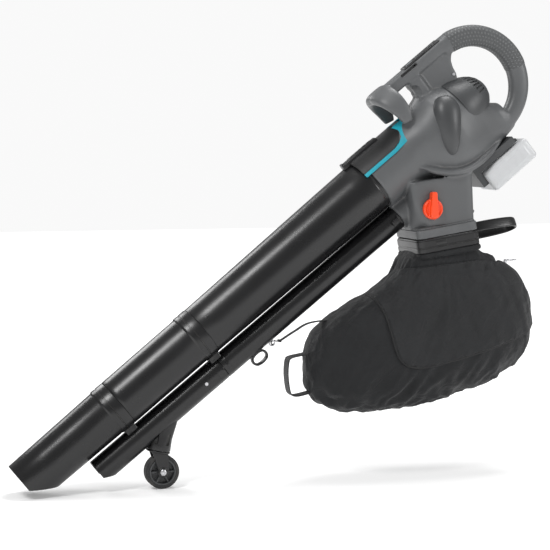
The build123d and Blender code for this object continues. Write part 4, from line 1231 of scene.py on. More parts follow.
# ---- trims, rail and motor cap ----
@dataclass
class Trims:
    """Top panel, coloured trims, lock rail and motor cap on the housing."""

    tool: Space
    radius: float = 59.0  # outer radius of the barrel under the trims
    skin: float = 2.2  # how far the panel stands proud

    def build(self) -> None:
        """Build and settle every trim."""
        self.panel()
        self.rail()
        self.cap()
        for side, name in ((-1, "left_trim"), (1, "right_trim")):
            self.trim(side, name)

    def shell(self, inner: float, outer: float, start: float, end: float) -> Form:
        """Return a closed ring on the barrel."""
        form = Form()
        form.lathe(
            [(start, inner), (start, outer - 0.6), (start + 0.6, outer), (end - 0.6, outer),
                (end, outer - 0.6), (end, inner), (start, inner)], 240)
        return form

    def panel(self) -> None:
        """Build the dark panel on top of the barrel."""
        ring = self.shell(self.radius - 1, self.radius + self.skin, -12.0, 116)
        cut = prism(
            [(-20, 34.5), (66, 34.5), (84, 39), (97, 50), (101, 60), (101, 90), (-20, 90)], -90, 90)
        carve(ring, cut, "INTERSECT").settle("barrel_top_panel", self.tool, BLACK, ["top_panel"])

    def trim(self, side: int, name: str) -> None:
        """Build one turquoise trim.

        Args:
            side: -1 for the left one, 1 for the right one.
            name: Its CAD node.
        """
        ring = self.shell(self.radius - 1, self.radius + self.skin + 0.4, -12.0, 134)
        low, high = sorted((side * 8.0, side * 90.0))
        cut = prism(
            [(-14, 27.5), (66, 27.5), (92, 30), (110, 33), (122, 40), (130, 49), (131, 60),
                (96, 60), (99, 52), (92, 42), (80, 36.5), (66, 34), (-14, 34)], low, high)
        carve(ring, cut, "INTERSECT").settle(f"{name}_band", self.tool, ACCENT, [name])

    def rail(self) -> None:
        """Build the rail that locks the tube in the rim."""
        form = Form()
        form.box((-26, -8.6, 50), (62, 8.6, 65.2), round_to=2.6)
        form.box((-8, -5.2, 60), (52, 5.2, 66.4), round_to=1.8)
        form.box((-26, -6.5, 62), (-20, 6.5, 67.0), round_to=1.4)
        knife = Form()
        knife.lathe([(-40, 0), (-40, 56.3), (-0.1, 56.3), (-0.1, 61.0), (90, 61.0), (90, 0)], 160)
        for at in (2, 12, 22, 32, 42):
            knife.box((at, -3.4, 65.4), (at + 4.5, 3.4, 68))
        carve(form, knife).settle("tube_rail", self.tool, BLACK, ["tube_lock_rail"])

    def cap(self) -> None:
        """Build the round motor cap with its vents."""
        form = Form()
        profile = [
            (226, 0.0), (226, 57.4), (232, 57.2), (240, 55.6), (250, 52.6), (260, 48.8),
            (270, 44.4), (279, 39.2), (287, 33.0), (294, 25.0), (298.5, 16.0), (300.6, 7.0),
            (301, 0.0)]
        form.lathe(profile, 128, moved(0, 0, 1.5))
        knife = Form()
        for side in (-1, 1):
            for step in range(7):
                turn = turned(side * (14 + 11.5 * step), "X")
                tilt = moved(0, 0, 1.5) @ turn @ moved(281, 0, 39) @ turned(38, "Y")
                knife.box((-11, -1.7, -4), (11, 1.7, 8), tilt, 0.8, 2)
        carve(form, knife).settle("motor_dome", self.tool, DARK, ["motor_cap"], sharp=30)


# ---- tubes ----
@dataclass
class Tubes:
    """Suction tube in three lengths, blow tube in two, and what joins and hangs on them."""

    tool: Space  # the tool's space, whose zero is the housing's rim
    mouth: float = -868.0  # the mouth before the rim
    first: float = -640.0  # first joint before the rim
    second: float = -434.0  # second joint before the rim
    blow_radius: float = 24.6  # outer radius of the blow tube
    chin_drop: float = -0.1827  # height of the chin's cutting block, in metres

    def blow_space(self) -> Space:
        """Return the space whose x is the blow tube's axis, from its front."""
        return self.tool.inner(*BLOW_AT, BLOW_TURN)

    def build(self) -> None:
        """Build and settle every tube and fitting."""
        self.nozzle()
        self.middle()
        self.upper()
        self.blow()
        self.saddles()
        self.eyelet()
        self.ring()
        self.catch()

    @staticmethod
    def collar(at: float, radius: float, long: float, step: float = 1.7) -> list[Corner]:
        """Return the outline of a rounded collar that ends at a joint.

        Args:
            at: The joint.
            radius: The tube's radius before the collar.
            long: The collar's length.
            step: How proud it stands.

        Returns:
            Points along its outside.
        """
        start = at - long
        return [
            (start - 2.5, radius), (start - 1.2, radius + 0.2),
            (start - 0.2, radius + step * 0.55), (start + 0.8, radius + step * 0.92),
            (start + 2.2, radius + step), (start + 9, radius + step),
            (start + 9.7, radius + step - 0.7), (start + 11.1, radius + step - 0.7),
            (start + 11.8, radius + step), (at - 1.6, radius + step),
            (at - 0.6, radius + step - 0.3), (at, radius + step - 1.1)]

    def nozzle(self) -> None:
        """Build the mouthpiece with its level chin."""
        form = Form()
        outside = [
            (self.mouth, 42.6), (self.mouth + 0.5, 43.6), (self.mouth + 1.6, 44.0),
            (self.mouth + 60, 44.8), (self.mouth + 130, 45.8), *self.collar(self.first, 46.8, 28)]
        form.lathe(
            [*outside, (self.first, 44.4), (self.first - 30, 44.2), (self.mouth, 41.4),
                outside[0]], 180)
        knife = Form()
        chin = self.tool.matrix().inverted() @ moved(-0.4, 0, self.chin_drop)
        knife.box((-0.4, -0.2, -0.2), (0.4, 0.2, 0.2), chin)
        carve(form, knife).settle("nozzle_tube", self.tool, TUBE, ["suction_nozzle"], sharp=30)

    def middle(self) -> None:
        """Build the middle length."""
        form = Form()
        outside = [
            (self.first - 0.2, 45.6), (self.first + 0.3, 47.8), (self.first + 1.4, 48.3),
            (self.first + 8, 48.4), (self.second - 60, 49.0), *self.collar(self.second, 49.0, 28)]
        form.lathe(
            [*outside, (self.second, 46.6), (self.second - 30, 46.0), (self.first - 26, 41.4),
                (self.first - 26, 44.0), (self.first - 0.2, 44.0), outside[0]], 180)
        self.button(form, self.first + 17, 48.4)
        form.settle("middle_tube", self.tool, TUBE, ["suction_middle_tube"], sharp=30)

    @staticmethod
    def button(form: Form, at: float, radius: float) -> None:
        """Add the two small locking buttons of a joint."""
        for side in (-1, 1):
            turn = turned(side * 62, "X") @ moved(at, 0, radius - 1.4)
            form.disc(4.2, 0, 2.6, turn, 0.9, 32)

    def upper(self) -> None:
        """Build the long upper length, which widens towards the rim."""
        form = Form()
        outside = [(self.second - 0.2, 47.6), (self.second + 0.3, 49.4), (self.second + 1.4, 49.8)]
        for step in range(1, 12):
            outside.append((self.second + 1.4 + (424 - 1.4) * step / 12, 49.8 + 5.7 * step / 12))
        outside += [
            (-9, 55.5), (-7.6, 55.1), (-6.4, 54.6), (-5.2, 54.7), (-4.4, 55.5), (-0.4, 55.5),
            (-0.4, 53.0), (25, 53.0), (25.6, 52.4)]
        form.lathe(
            [*outside, (25.6, 50.4), (-8, 50.6), (self.second, 46.6), (self.second - 26, 43.6),
                (self.second - 26, 46.2), (self.second - 0.2, 46.2), outside[0]], 180)
        self.button(form, self.second + 17, 50.0)
        form.settle("upper_tube", self.tool, TUBE, ["suction_upper_tube"], sharp=30)

    def blow(self) -> None:
        """Build the blow tube's nozzle, with its slanted mouth, and its long rear length."""
        space, r = self.blow_space(), self.blow_radius
        front = Form()
        outside = [
            (0, r - 1.0), (0.8, r - 0.1), (2, r), (150, r), (268, r), (269, r), (296, r),
            (301.4, r), (302.4, r - 0.5), (303, r - 1.2)]
        front.lathe([*outside, (303, r - 2.0), (0, r - 2.3), outside[0]], 128)
        knife = prism([(-6, -r - 4), (-6, -9), (0, -9), (24.5, -r - 0.6), (27, -r - 4)], -40, 40)
        nozzle = carve(front, knife)
        nozzle.lathe(
            [(284, r - 0.4), (284.6, r + 0.35), (286, r + 0.35), (286.6, r - 0.4), (284, r - 0.4)],
            128)
        nozzle.settle("blow_front", space, TUBE, ["blow_nozzle"], sharp=30)
        rear = Form()
        outside = [(303.2, r - 1.2), (303.6, r - 0.4), (304.8, r), (772.6, r), (773, r - 0.5)]
        rear.lathe(
            [*outside, (773, r - 2.2), (283.5, r - 2.8), (283.5, r - 1.8), (303.2, r - 1.8),
                outside[0]], 128)
        rear.lathe(
            [(310, r - 0.4), (310.6, r + 0.3), (316, r + 0.3), (316.6, r - 0.4), (310, r - 0.4)],
            128)
        rear.settle("blow_rear", space, TUBE, ["blow_tube"], sharp=30)

    def saddles(self) -> None:
        """Build the blocks that clip the two tubes together."""
        for name, at, radius in (
                ("front_tube_saddle", self.first - 14, 48.4),
                ("rear_tube_saddle", self.second - 14, 50.6)):
            form = Form()
            form.box((at - 11.8, -14.8, -81), (at + 11.8, 14.8, 12 - radius), round_to=2.4)
            knife = Form()
            knife.lathe(
                [(at - 30, 0), (at - 30, radius + 0.1), (at + 30, radius + 0.1), (at + 30, 0)], 128)
            knife.lathe(
                [(-40, 0), (-40, self.blow_radius + 0.1), (40, self.blow_radius + 0.1), (40, 0)],
                128, moved(at, 0, self.blow_axis(at)))
            knife.box((at - 8, -18, -56), (at - 2, -13.6, -46))
            carve(form, knife).settle(f"{name}_block", self.tool, BLACK, [name])

    @staticmethod
    def blow_axis(at: float) -> float:
        """Return the height of the blow tube's axis at a place."""
        return BLOW_AT[1] - (at - BLOW_AT[0]) * tan(radians(BLOW_TURN))

    def under(self, at: float) -> float:
        """Return the height of the blow tube's underside at a place."""
        return self.blow_axis(at) - self.blow_radius

    def eyelet(self) -> None:
        """Build the oblong eyelet for a shoulder strap."""
        at = EYELET_AT
        low = self.under(at) - 10.5
        form = Form()
        line = []
        for step in range(48):
            turn = tau * step / 48
            stretch = 5.0 * copysign(min(abs(cos(turn)) * 1.6, 1.0), cos(turn))
            line.append(Vector((at + stretch + 10.5 * cos(turn), 0, low + 10.5 * sin(turn))))
        form.sweep(line, [(7.0, 2.5)] * 48, 3.0, 20, closed=True)
        form.box((at - 13, -9, low + 8.6), (at + 13, 9, low + 16.5), round_to=2.6)
        form = melt(form, 0.8, 4)
        form.settle("shoulder_eyelet", self.tool, BLACK, ["strap_eyelet"], sharp=50, tidy=False)

    def ring(self) -> None:
        """Build the small ring that takes the bag's front hook."""
        at = HOOK_RING_AT
        low = self.under(at) - HOOK_RING
        form = Form()
        line = [
            Vector((at + 5.05 * cos(tau * s / 32), 0, low + 5.05 * sin(tau * s / 32)))
            for s in range(32)]
        form.sweep(line, [(2.0, 1.45)] * 32, 2.4, 16, closed=True)
        form.box((at - 6, -4, low + 4.2), (at + 6, 4, low + 8.5), round_to=1.4)
        form.settle("front_hook_ring", self.tool, STEEL, ["strap_hook_ring"])

    def catch(self) -> None:
        """Build the sprung catch of the blow tube."""
        form = Form()
        form.box((-21, -30.8, -88.4), (-4.5, -27.4, -76.8), round_to=1.2)
        form.box((-21, -32.4, -88.2), (-16.5, -29.5, -77.0), round_to=0.9)
        turn = moved(-4, -29.1, -82.6)
        form.disc(1.95, -9, 9, turn, 0.3, 32)
        form.settle("blow_tube_catch", self.tool, BLACK, ["tube_catch"], body=Body.CATCH)


# ---- castor ----
@dataclass
class Castor:
    """The swivelling wheel under the blow tube."""

    swivel: Space  # space on the swivel axis; its z runs up that axis
    hub: Space  # space on the wheel's axle
    wheel: float = 32.0  # radius of the tyre
    width: float = 26.0  # width of the tyre

    def build(self) -> None:
        """Build and settle the castor's pieces."""
        self.tyre()
        self.rim()
        self.axle()
        self.fork()
        self.stem()

    @staticmethod
    def across() -> Matrix:
        """Return the turn that lays a lathed piece's axis across the machine."""
        return turned(90, "Z")

    def tyre(self) -> None:
        """Build the ribbed rubber tyre."""
        half, r = self.width / 2, self.wheel
        profile = [
            (-half + 1, r - 6), (-half, r - 4.6), (-half, r - 2.6), (-half + 0.9, r - 0.9),
            (-half + 2.6, r)]
        for at in (-7.2, -2.4, 2.4, 7.2):
            profile += [(at - 0.9, r), (at - 0.5, r - 0.9), (at + 0.5, r - 0.9), (at + 0.9, r)]
        profile += [
            (half - 2.6, r), (half - 0.9, r - 0.9), (half, r - 2.6), (half, r - 4.6),
            (half - 1, r - 6)]
        form = Form()
        form.lathe([*profile, profile[0]], 128, self.across())
        form.settle(
            "castor_tread", self.hub, TYRE, ["castor_tyre"], body=Body.CASTOR_WHEEL, sharp=40)

    def rim(self) -> None:
        """Build the spoked hub."""
        r = self.wheel - 6.1
        form = Form()
        form.lathe(
            [(-12, r - 3.4), (-12, r - 0.6), (-11.2, r), (11.2, r), (12, r - 0.6), (12, r - 3.4),
                (9, r - 4.2), (-9, r - 4.2), (-12, r - 3.4)], 96, self.across())
        form.lathe([(-3, 5), (-3, r - 2), (3, r - 2), (3, 5), (-3, 5)], 96, self.across())
        form.lathe(
            [(-12, 3.1), (-12, 7.2), (-11, 8.2), (11, 8.2), (12, 7.2), (12, 3.1), (-12, 3.1)], 64,
            self.across())
        for step in range(6):
            turn = Matrix.Rotation(tau * step / 6, 4, "Y")
            form.box((7, -10, -1.6), (r - 2, 10, 1.6), turn, 0.6, 2)
        form.settle("castor_hub", self.hub, DARK, ["castor_wheel"], body=Body.CASTOR_WHEEL)

    def axle(self) -> None:
        """Build the axle with its domed heads."""
        form = Form()
        form.lathe(
            [(-20.2, 0), (-20.1, 2.6), (-19.4, 4.8), (-18.2, 6), (-17.3, 6), (-17.3, 2.98),
                (17.3, 2.98), (17.3, 6), (18.2, 6), (19.4, 4.8), (20.1, 2.6), (20.2, 0)], 64,
            self.across())
        form.settle("castor_pin", self.hub, STEEL, ["castor_axle"], body=Body.CASTOR)

    def fork(self) -> None:
        """Build the fork: a crown and two cheeks that narrow to the axle."""
        place = self.swivel.matrix().inverted() @ self.hub.matrix().translation
        form = Form()
        form.lathe(
            [(-4.6, 5.2), (-4.6, 21.5), (-3.4, 23), (-1.2, 23), (-0.7, 22.4), (-0.7, 5.2),
                (-4.6, 5.2)], 96, turned(-90, "Y"))
        for side in (-1, 1):
            low, high = sorted((side * 14.2, side * 17.2))
            plate = prism(
                [(-16, -1.5), (16, -1.5), (place.x + 10.5, place.z + 4),
                    (place.x + 10, place.z - 4), (place.x + 5, place.z - 9.2),
                    (place.x - 4, place.z - 9.6), (place.x - 9.6, place.z - 5),
                    (place.x - 10, place.z + 3)], low, high)
            Housing.join(form, plate)
            turn = moved(place.x, side * 17.6, place.z) @ Matrix.Rotation(side * -pi / 2, 4, "X")
            form.disc(8.4, -0.6, 0.8, turn, 0.4, 48)
        melt(form, 0.7, 3).settle(
            "castor_yoke", self.swivel, BLACK, ["castor_fork"], body=Body.CASTOR, sharp=50,
            tidy=False)

    def stem(self) -> None:
        """Build the stem, which hugs the blow tube and narrows to the swivel."""
        form = Form()
        rings = []
        for rise, u, v, power in (
                (0.4, 22.2, 22.6, 2), (2.2, 23, 23, 2), (10, 22.4, 22.6, 2.1),
                (24, 21.6, 20.5, 2.4), (38, 22.6, 19.2, 3), (52, 24, 18.6, 3.4),
                (64, 25, 18.4, 3.6)):
            rings.append(form.ring(moved(0, 0, rise), u, v, power, 72))
        form.skin(rings)
        tool = tool_space()
        pipe = Tubes(tool).blow_space().matrix()
        knife = Form()
        knife.lathe(
            [(-100, 0), (-100, 24.8), (700, 24.8), (700, 0)], 128, self.swivel.matrix().inverted()
            @ pipe)
        knife.box((-60, -60, 62), (60, 60, 130))
        knife.box((-14, -30, 12), (-8, -15.5, 34), round_to=1.2)
        knife.box((8, -30, 12), (14, -15.5, 34), round_to=1.2)
        carve(form, knife).settle("castor_post", self.swivel, BLACK, ["castor_stem"], sharp=35)


# ---- controls, knob and battery ----
@dataclass
class Controls:
    """Thumb strip with its key, rocker and charge window, the soft grip and the mode knob."""

    tool: Space
    top: float = 129.0  # height of the arm's top
    handle: Loop = Loop()  # the loop handle's middle line

    def build(self) -> None:
        """Build and settle the controls."""
        self.strip()
        self.key()
        self.rocker()
        self.lens()
        self.grip()
        self.knob()

    def strip(self) -> None:
        """Build the dark strip that frames the controls."""
        form = Form()
        form.box((188, -13, self.top - 3), (279, 13, self.top + 2.6), round_to=2.2)
        knife = Form()
        knife.disc(7.5, -6, 12, moved(261, 0, self.top), 0, 48)
        knife.box((218.5, -6.6, self.top - 8), (243.5, 6.6, self.top + 8), round_to=1.5)
        knife.box((196.9, -3.1, self.top - 8), (215.1, 3.1, self.top + 8), round_to=1.2)
        made = carve(form, knife)
        made.bevel_sharp(0.25, 1, 50)
        made.settle("thumb_strip", self.tool, BLACK, ["control_panel"])

    def key(self) -> None:
        """Build the power key with its raised mark."""
        form = Form()
        form.disc(6.9, -4, 3.6, moved(261, 0, self.top), 0.9, 64)
        line = []
        for step in range(25):
            turn = radians(55 + 250 * step / 24)
            line.append(Vector((261 + 3.1 * cos(turn), 3.1 * sin(turn), self.top + 3.6)))
        form.sweep(line, [(0.42, 0.3)] * 25, 2.0, 8, flat=Vector((0, 0, 1)))
        form.box(
            (261.4, -0.42, self.top + 3.2), (264.6, 0.42, self.top + 3.95), round_to=0.15,
            segments=1)
        form.settle("power_button", self.tool, DARK, ["power_key"], body=Body.POWER_KEY)

    def rocker(self) -> None:
        """Build the speed rocker with its ridges."""
        form = Form()
        form.box((220, -5.9, self.top - 3), (242, 5.9, self.top + 3.4), round_to=1.6)
        for at in (223, 225.5, 228, 234, 236.5, 239):
            form.box(
                (at - 0.5, -4.6, self.top + 3), (at + 0.5, 4.6, self.top + 4.2), round_to=0.35,
                segments=1)
        form.disc(1.5, -7.5, 7.5, moved(231, 0, self.top - 1) @ turned(90, "X"), 0.2, 24)
        form.settle("speed_key", self.tool, DARK, ["speed_rocker"], body=Body.SPEED_ROCKER)

    def lens(self) -> None:
        """Build the charge window."""
        form = Form()
        form.box((197.1, -2.9, self.top - 2), (214.9, 2.9, self.top + 2.7), round_to=1.0)
        form.settle("charge_lens_bar", self.tool, LENS, ["charge_window"])

    def grip(self) -> None:
        """Build the soft dotted cover on the loop, with a UV map along and around it."""
        form = Form()
        line, sizes = [], []
        for step in range(61):
            angle = radians(86 - 104 * step / 60)
            line.append(self.handle.point(angle))
            end = sqrt(max(1 - abs(2 * step / 60 - 1) ** 26, 0.0))
            sizes.append((14.5 + 3.6 * end, 17.3 + 3.6 * end))
        form.sweep(line, sizes, 2.5, 64)
        form.tidy()
        uv = form.bm.loops.layers.uv.new("grip")
        middle = Vector((self.handle.at, 0, self.handle.rise))
        for face in form.bm.faces:
            for loop in face.loops:
                arm = loop.vert.co - middle
                along = atan2(arm.z, arm.x) * self.handle.radius
                around = atan2(loop.vert.co.y, hypot(arm.x, arm.z) - self.handle.radius)
                loop[uv].uv = (along * MM, around * 18.0 * MM)
        form.settle("soft_grip", self.tool, GRIP, ["grip_cover"], sharp=40, tidy=False)

    def knob(self) -> None:
        """Build the mode knob: a dished disc with a pointer."""
        space = joint_space("mode_select")
        form = Form()
        turn = turned(-90, "Z")
        form.lathe(
            [(58.7, 0), (58.7, 19.4), (59.3, 20), (64.6, 20), (66.2, 19.3), (67.0, 18),
                (67.2, 16.6), (65.6, 15.2), (65.2, 13.5), (65.2, 0)], 96, turn)
        pointer = prism(
            [(-7.4, -14.5), (0, -17.4), (7.4, -14.5), (8.2, -6), (6.4, 12), (5.4, 29), (3.2, 32.6),
                (-3.2, 32.6), (-5.4, 29), (-6.4, 12), (-8.2, -6)], -73.4, -59.0, 4)
        Housing.join(form, pointer)
        melt(form, 0.75, 5).settle(
            "mode_dial", space, KNOB, ["mode_knob"], body=Body.SELECTOR, sharp=50, tidy=False)


@dataclass
class Pack:
    """The slide-on battery."""

    tool: Space
    start: float = 183.0  # its front face behind the rim
    long: float = 114.0  # its length
    half: float = 37.5  # half its width
    low: float = -170.0  # its lowest face
    high: float = -124.0  # top of its case

    def build(self) -> None:
        """Build and settle the battery's pieces."""
        end = self.start + self.long
        form = Form()
        form.box(
            (self.start, -self.half + 0.8, self.low), (end, self.half - 0.8, self.high),
            round_to=8, segments=5)
        form.box(
            (self.start + 8, -self.half, self.low + 10), (end - 14, self.half, self.high - 8),
            round_to=2.2)
        form.box((self.start + 0.4, -25.4, -117.4), (end - 22, 25.4, -112.4), round_to=1)
        form.box((self.start + 0.4, -19.8, -126), (end - 22, 19.8, -115), round_to=0.8)
        body = melt(form, 1.5, 3)
        knife = Form()
        for at in (214, 222, 230):
            knife.box(
                (at, -60, self.low - 2), (at + 3, 60, self.low + 1.4), round_to=0.6, segments=1)
        knife.box((end - 21.5, -14.2, self.high - 4), (end - 8.5, 14.2, self.high + 6), round_to=1)
        carve(body, knife).settle(
            "battery_shell", self.tool, PACK, ["battery_case"], body=Body.BATTERY, sharp=40)
        key = Form()
        key.box((end - 20.3, -13.3, self.high - 2), (end - 9.7, 13.3, self.high + 5), round_to=1.6)
        for at in (-8, -4, 0, 4, 8):
            key.box(
                (end - 18, at - 0.7, self.high + 4.4), (end - 12, at + 0.7, self.high + 5.9),
                round_to=0.4, segments=1)
        key.settle(
            "battery_key_cap", self.tool, DARK, ["battery_release_key"], body=Body.BATTERY_KEY)


# ---- bag frame ----
@dataclass
class BagFrame:
    """The square frame that clips the bag to the port, with its carrying loop and latch."""

    port: Space  # the port's space
    half: float = 65.0  # half the frame's side
    tall: float = 28.0  # the frame's height

    def build(self) -> None:
        """Build and settle the frame's pieces."""
        self.ring()
        self.loop()
        self.lever()

    def ring(self) -> None:
        """Build the frame and the latch's ears."""
        form = Form()
        rings = []
        for rise, inset in (
                (-self.tall, 1.2), (-self.tall + 1.2, 0), (-20, 0), (-19, 0.9), (-17.4, 0.9),
                (-16.4, 0), (-5.2, 0), (-4.4, 1.4), (-2.4, 1.4), (-1.6, 2.2)):
            rings.append(Housing.square_ring(form, moved(0, 0, rise), self.half - inset, 17))
        for rise in (-1.6, -self.tall):
            rings.append(Housing.square_ring(form, moved(0, 0, rise), self.half - 8, 11))
        form.skin(rings, closed=True)
        form.tidy()
        for side in (-1, 1):
            form.box((63, side * 14 - 1.5, -12.5), (72, side * 14 + 1.5, -3.5), round_to=0.7)
            form.box((-30, side * 64.2 - 1.4, -15), (-8, side * 64.2 + 1.4, -7), round_to=1)
        form.settle("port_frame", self.port, BLACK, ["bag_frame"], body=Body.BAG)

    def loop(self) -> None:
        """Build the teardrop-shaped carrying loop."""
        form = Form()
        line = rounded_path(
            [(62, -27, 0), (84, -30.4, 0), (112, -29.4, 0), (140, -24.6, 0), (157, -16.5, 0),
                (165.6, 0, 0), (157, 16.5, 0), (140, 24.6, 0), (112, 29.4, 0), (84, 30.4, 0),
                (62, 27, 0)], 7)
        form.sweep(line, [(9.6, 2.3)] * len(line), 3.4, 28, flat=Vector((0, 0, 1)))
        roll = moved(0, 0, -10) @ turned(-22, "X")
        bmesh.ops.transform(form.bm, matrix=roll, verts=form.bm.verts[:])
        for side in (-1, 1):
            form.box(
                (62.5, side * 26 - 5, -16 - side * 9), (68, side * 26 + 5, -2 - side * 9),
                round_to=1.4)
        form.settle("carrying_loop", self.port, BLACK, ["frame_handle"], body=Body.BAG)

    def lever(self) -> None:
        """Build the latch lever."""
        plate = prism(
            [(66.4, -11.4), (73.4, -11.4), (74.2, -6), (73.2, 0), (73.0, 19), (80.4, 31),
                (78.6, 33.6), (75.6, 33.4), (70.2, 23), (70.0, -1), (66.4, -4.4)], -11.9, 11.9)
        plate.bevel_sharp(0.9, 3, 30)
        for at in (-6, 0, 6):
            plate.box((72.4, at - 1.2, 4), (74.0, at + 1.2, 17), round_to=0.6, segments=2)
        plate.settle("latch_plate", self.port, DARK, ["bag_latch_lever"], body=Body.LATCH)


# ---- pieces that keep their CAD shape ----
class Inner:
    """Pieces inside the machine, which keep their CAD shape under a better finish."""

    FINISHES = {
        "impeller": BLACK, "shredder_blade": STEEL, "impeller_nut": STEEL, "motor_shaft": STEEL,
        "motor_mount": CAN, "motor": CAN, "motor_bearings": STEEL, "battery_dock": DARK,
        "dock_terminals": BRASS, "battery_cells": CELLS, "selector_shaft": BLACK,
        "diverter_flap": BLACK, "selector_bushes": DARK, "control_board": BOARD, "port_seal": SEAL,
        "latch_pin": STEEL, "castor_pivot": STEEL, "screws": STEEL}

    @classmethod
    def build(cls) -> None:
        """Give each of these nodes its finish."""
        for node, finish in cls.FINISHES.items():
            mesh = NODES[node].data
            mesh.materials.clear()
            mesh.materials.append(finish.material())
            LOG.info("%s keeps its CAD shape", node)


# ---- bag ----
@dataclass
class Bag:
    """The cloth bag with its padded flap, piping, end handle, front strap and zip puller."""

    space: Space  # level space at the middle of the port
    port: Space  # the port's own space
    half: float = 98.0  # half the bag's width
    frames: int = 16  # how long its cloth settles
    most: float = 14.0  # how far the cloth may move while it settles
    # Side outline round the port's centre.
    outline: Sequence[Corner] = (
        (-58, -30), (-72, -44), (-98, -66), (-126, -88), (-160, -108), (-196, -126), (-228, -146),
        (-256, -168), (-272, -192), (-279, -224), (-279, -256), (-270, -286), (-250, -310),
        (-216, -324), (-176, -330), (-120, -328), (-60, -322), (0, -310), (60, -294), (120, -272),
        (168, -244), (196, -216), (204, -192), (202, -158), (196, -118), (180, -82), (154, -56),
        (122, -44), (90, -38), (64, -26))
    # Outline of the front flap.
    flap_line: Sequence[Corner] = (
        (-160, -102), (-150, -112), (-140, -132), (-130, -164), (-122, -196), (-110, -228),
        (-92, -246), (-60, -251), (-10, -243), (60, -226), (130, -206), (176, -190), (196, -172),
        (186, -124), (170, -90), (142, -64), (96, -55), (56, -50), (0, -56), (-60, -62),
        (-100, -72), (-140, -92))

    CLOTH_SETTINGS = {
        "quality": 5, "mass": 0.25, "tension_stiffness": 12, "compression_stiffness": 5,
        "shear_stiffness": 5, "bending_stiffness": 0.12, "shrink_min": -0.085,
        "vertex_group_mass": "held", "use_pressure": True, "uniform_pressure_force": 1.6}

    def build(self) -> None:
        """Build and settle the bag's pieces."""
        body = self.cloth()
        tree = BVHTree.FromObject(body, bpy.context.evaluated_depsgraph_get())
        flap = self.flap(body)
        cord = self.piping(tree)
        settle(body, Body.BAG, CLOTH, ["bag"])
        settle(flap, Body.BAG, FLAP_CLOTH, ["bag_flap"])
        settle(cord, Body.BAG, WEB)
        self.collar()
        self.end_handle()
        self.front_strap()
        self.puller()

    def shell(self) -> Form:
        """Return the bag's plump shape: its side outline, drawn in towards both sides."""
        form = Form()
        middle = Vector((-42, 0, -190))
        line = rounded_path(
            [(x - middle.x, 0, z - middle.z) for x, z in (*self.outline, self.outline[0])], 4)[:-1]
        rings = []
        for step in range(-9, 10):
            share = sin(step / 9 * pi / 2)
            shrink = max(1 - abs(share) ** 2.6, 0.0) ** 0.5
            size = 0.34 + 0.66 * shrink
            verts = [
                form.bm.verts.new(middle + p * size + Vector((0, share * self.half, 0)))
                for p in line]
            edges = [form.bm.edges.new((a, b)) for a, b in zip(verts, verts[1:] + verts[:1])]
            rings.append(edges)
        form.skin(rings)
        form.tidy()
        tilt = turned(-9, "Y")
        form.box((-60, -60, -86), (60, 60, -26), tilt, 10)
        return form

    def crease(self, form: Form) -> None:
        """Press soft folds into the cloth: they hang from the neck and gather along the bottom."""
        form.bm.normal_update()
        for vert in form.bm.verts:
            place = vert.co
            neck = Vector((place.x + 10, place.y, place.z + 40))
            round_neck = atan2(place.x + 10, -(place.z + 10) + 1e-3)
            hanging = noise.noise(Vector((round_neck * 5.0, place.y * 0.022, neck.length * 0.004)))
            low = noise.noise(
                Vector((place.x * 0.030 - place.z * 0.018, place.y * 0.035, place.z * 0.006 + 7.0)))
            fine = noise.noise(
                Vector((place.x * 0.055 + place.z * 0.04, place.y * 0.06, place.z * 0.03 + 31.0)))
            near_neck = 1 - smoothstep(70, 210, neck.length)
            near_floor = 1 - smoothstep(-300, -215, place.z)
            fold = (1 - abs(hanging) * 3.2) * 3.4 * near_neck + (1 - abs(low) * 3.0) * (
                1.6 + 3.6 * near_floor)
            held = 1 - smoothstep(-74, -44, place.z)
            vert.co += vert.normal * (fold + fine * 2.2 - 2.2) * held

    def cloth(self) -> Thing:
        """Return the bag's skin after its cloth has settled under a little air."""
        form = melt(self.shell(), 5.5, 6)
        self.crease(form)
        body = form.to_object("bag_body", self.space, 180, tidy=False)
        pins = body.vertex_groups.new(name="held")
        zero = self.space.place(0, 0, 0)
        for vert in body.data.vertices:
            place = (vert.co - zero) / MM
            under_port = abs(place.x) < 110 and abs(place.y) < 80
            hold = smoothstep(-62, -36, place.z) if under_port else 0.0
            seam = 0.05 * (1 - smoothstep(3, 9, abs(abs(place.y) - 70)))
            pins.add([vert.index], max(hold, seam), "REPLACE")
        cloth = body.modifiers.new("cloth", "CLOTH")
        for key, value in self.CLOTH_SETTINGS.items():
            setattr(cloth.settings, key, value)
        cloth.settings.effector_weights.gravity = 0.25
        cloth.collision_settings.use_collision = False
        cloth.collision_settings.use_self_collision = False
        cloth.point_cache.frame_start = 1
        cloth.point_cache.frame_end = self.frames
        scene = bpy.context.scene
        before = [vert.co.copy() for vert in body.data.vertices]
        for number in range(1, self.frames + 1):
            scene.frame_set(number)
        mesh = baked(body, "bag_settled")
        scene.frame_set(1)
        body.modifiers.clear()
        for vert, start in zip(mesh.vertices, before):
            moved = vert.co - start
            if moved.length > self.most * MM:
                vert.co = start + moved * (self.most * MM / moved.length)
        body.data = mesh
        body.vertex_groups.clear()
        finer = body.modifiers.new("finer", "SUBSURF")
        finer.levels = finer.render_levels = 1
        smooth = baked(body, "bag_skin")
        body.modifiers.clear()
        body.data = smooth
        smooth.shade_smooth()
        return body

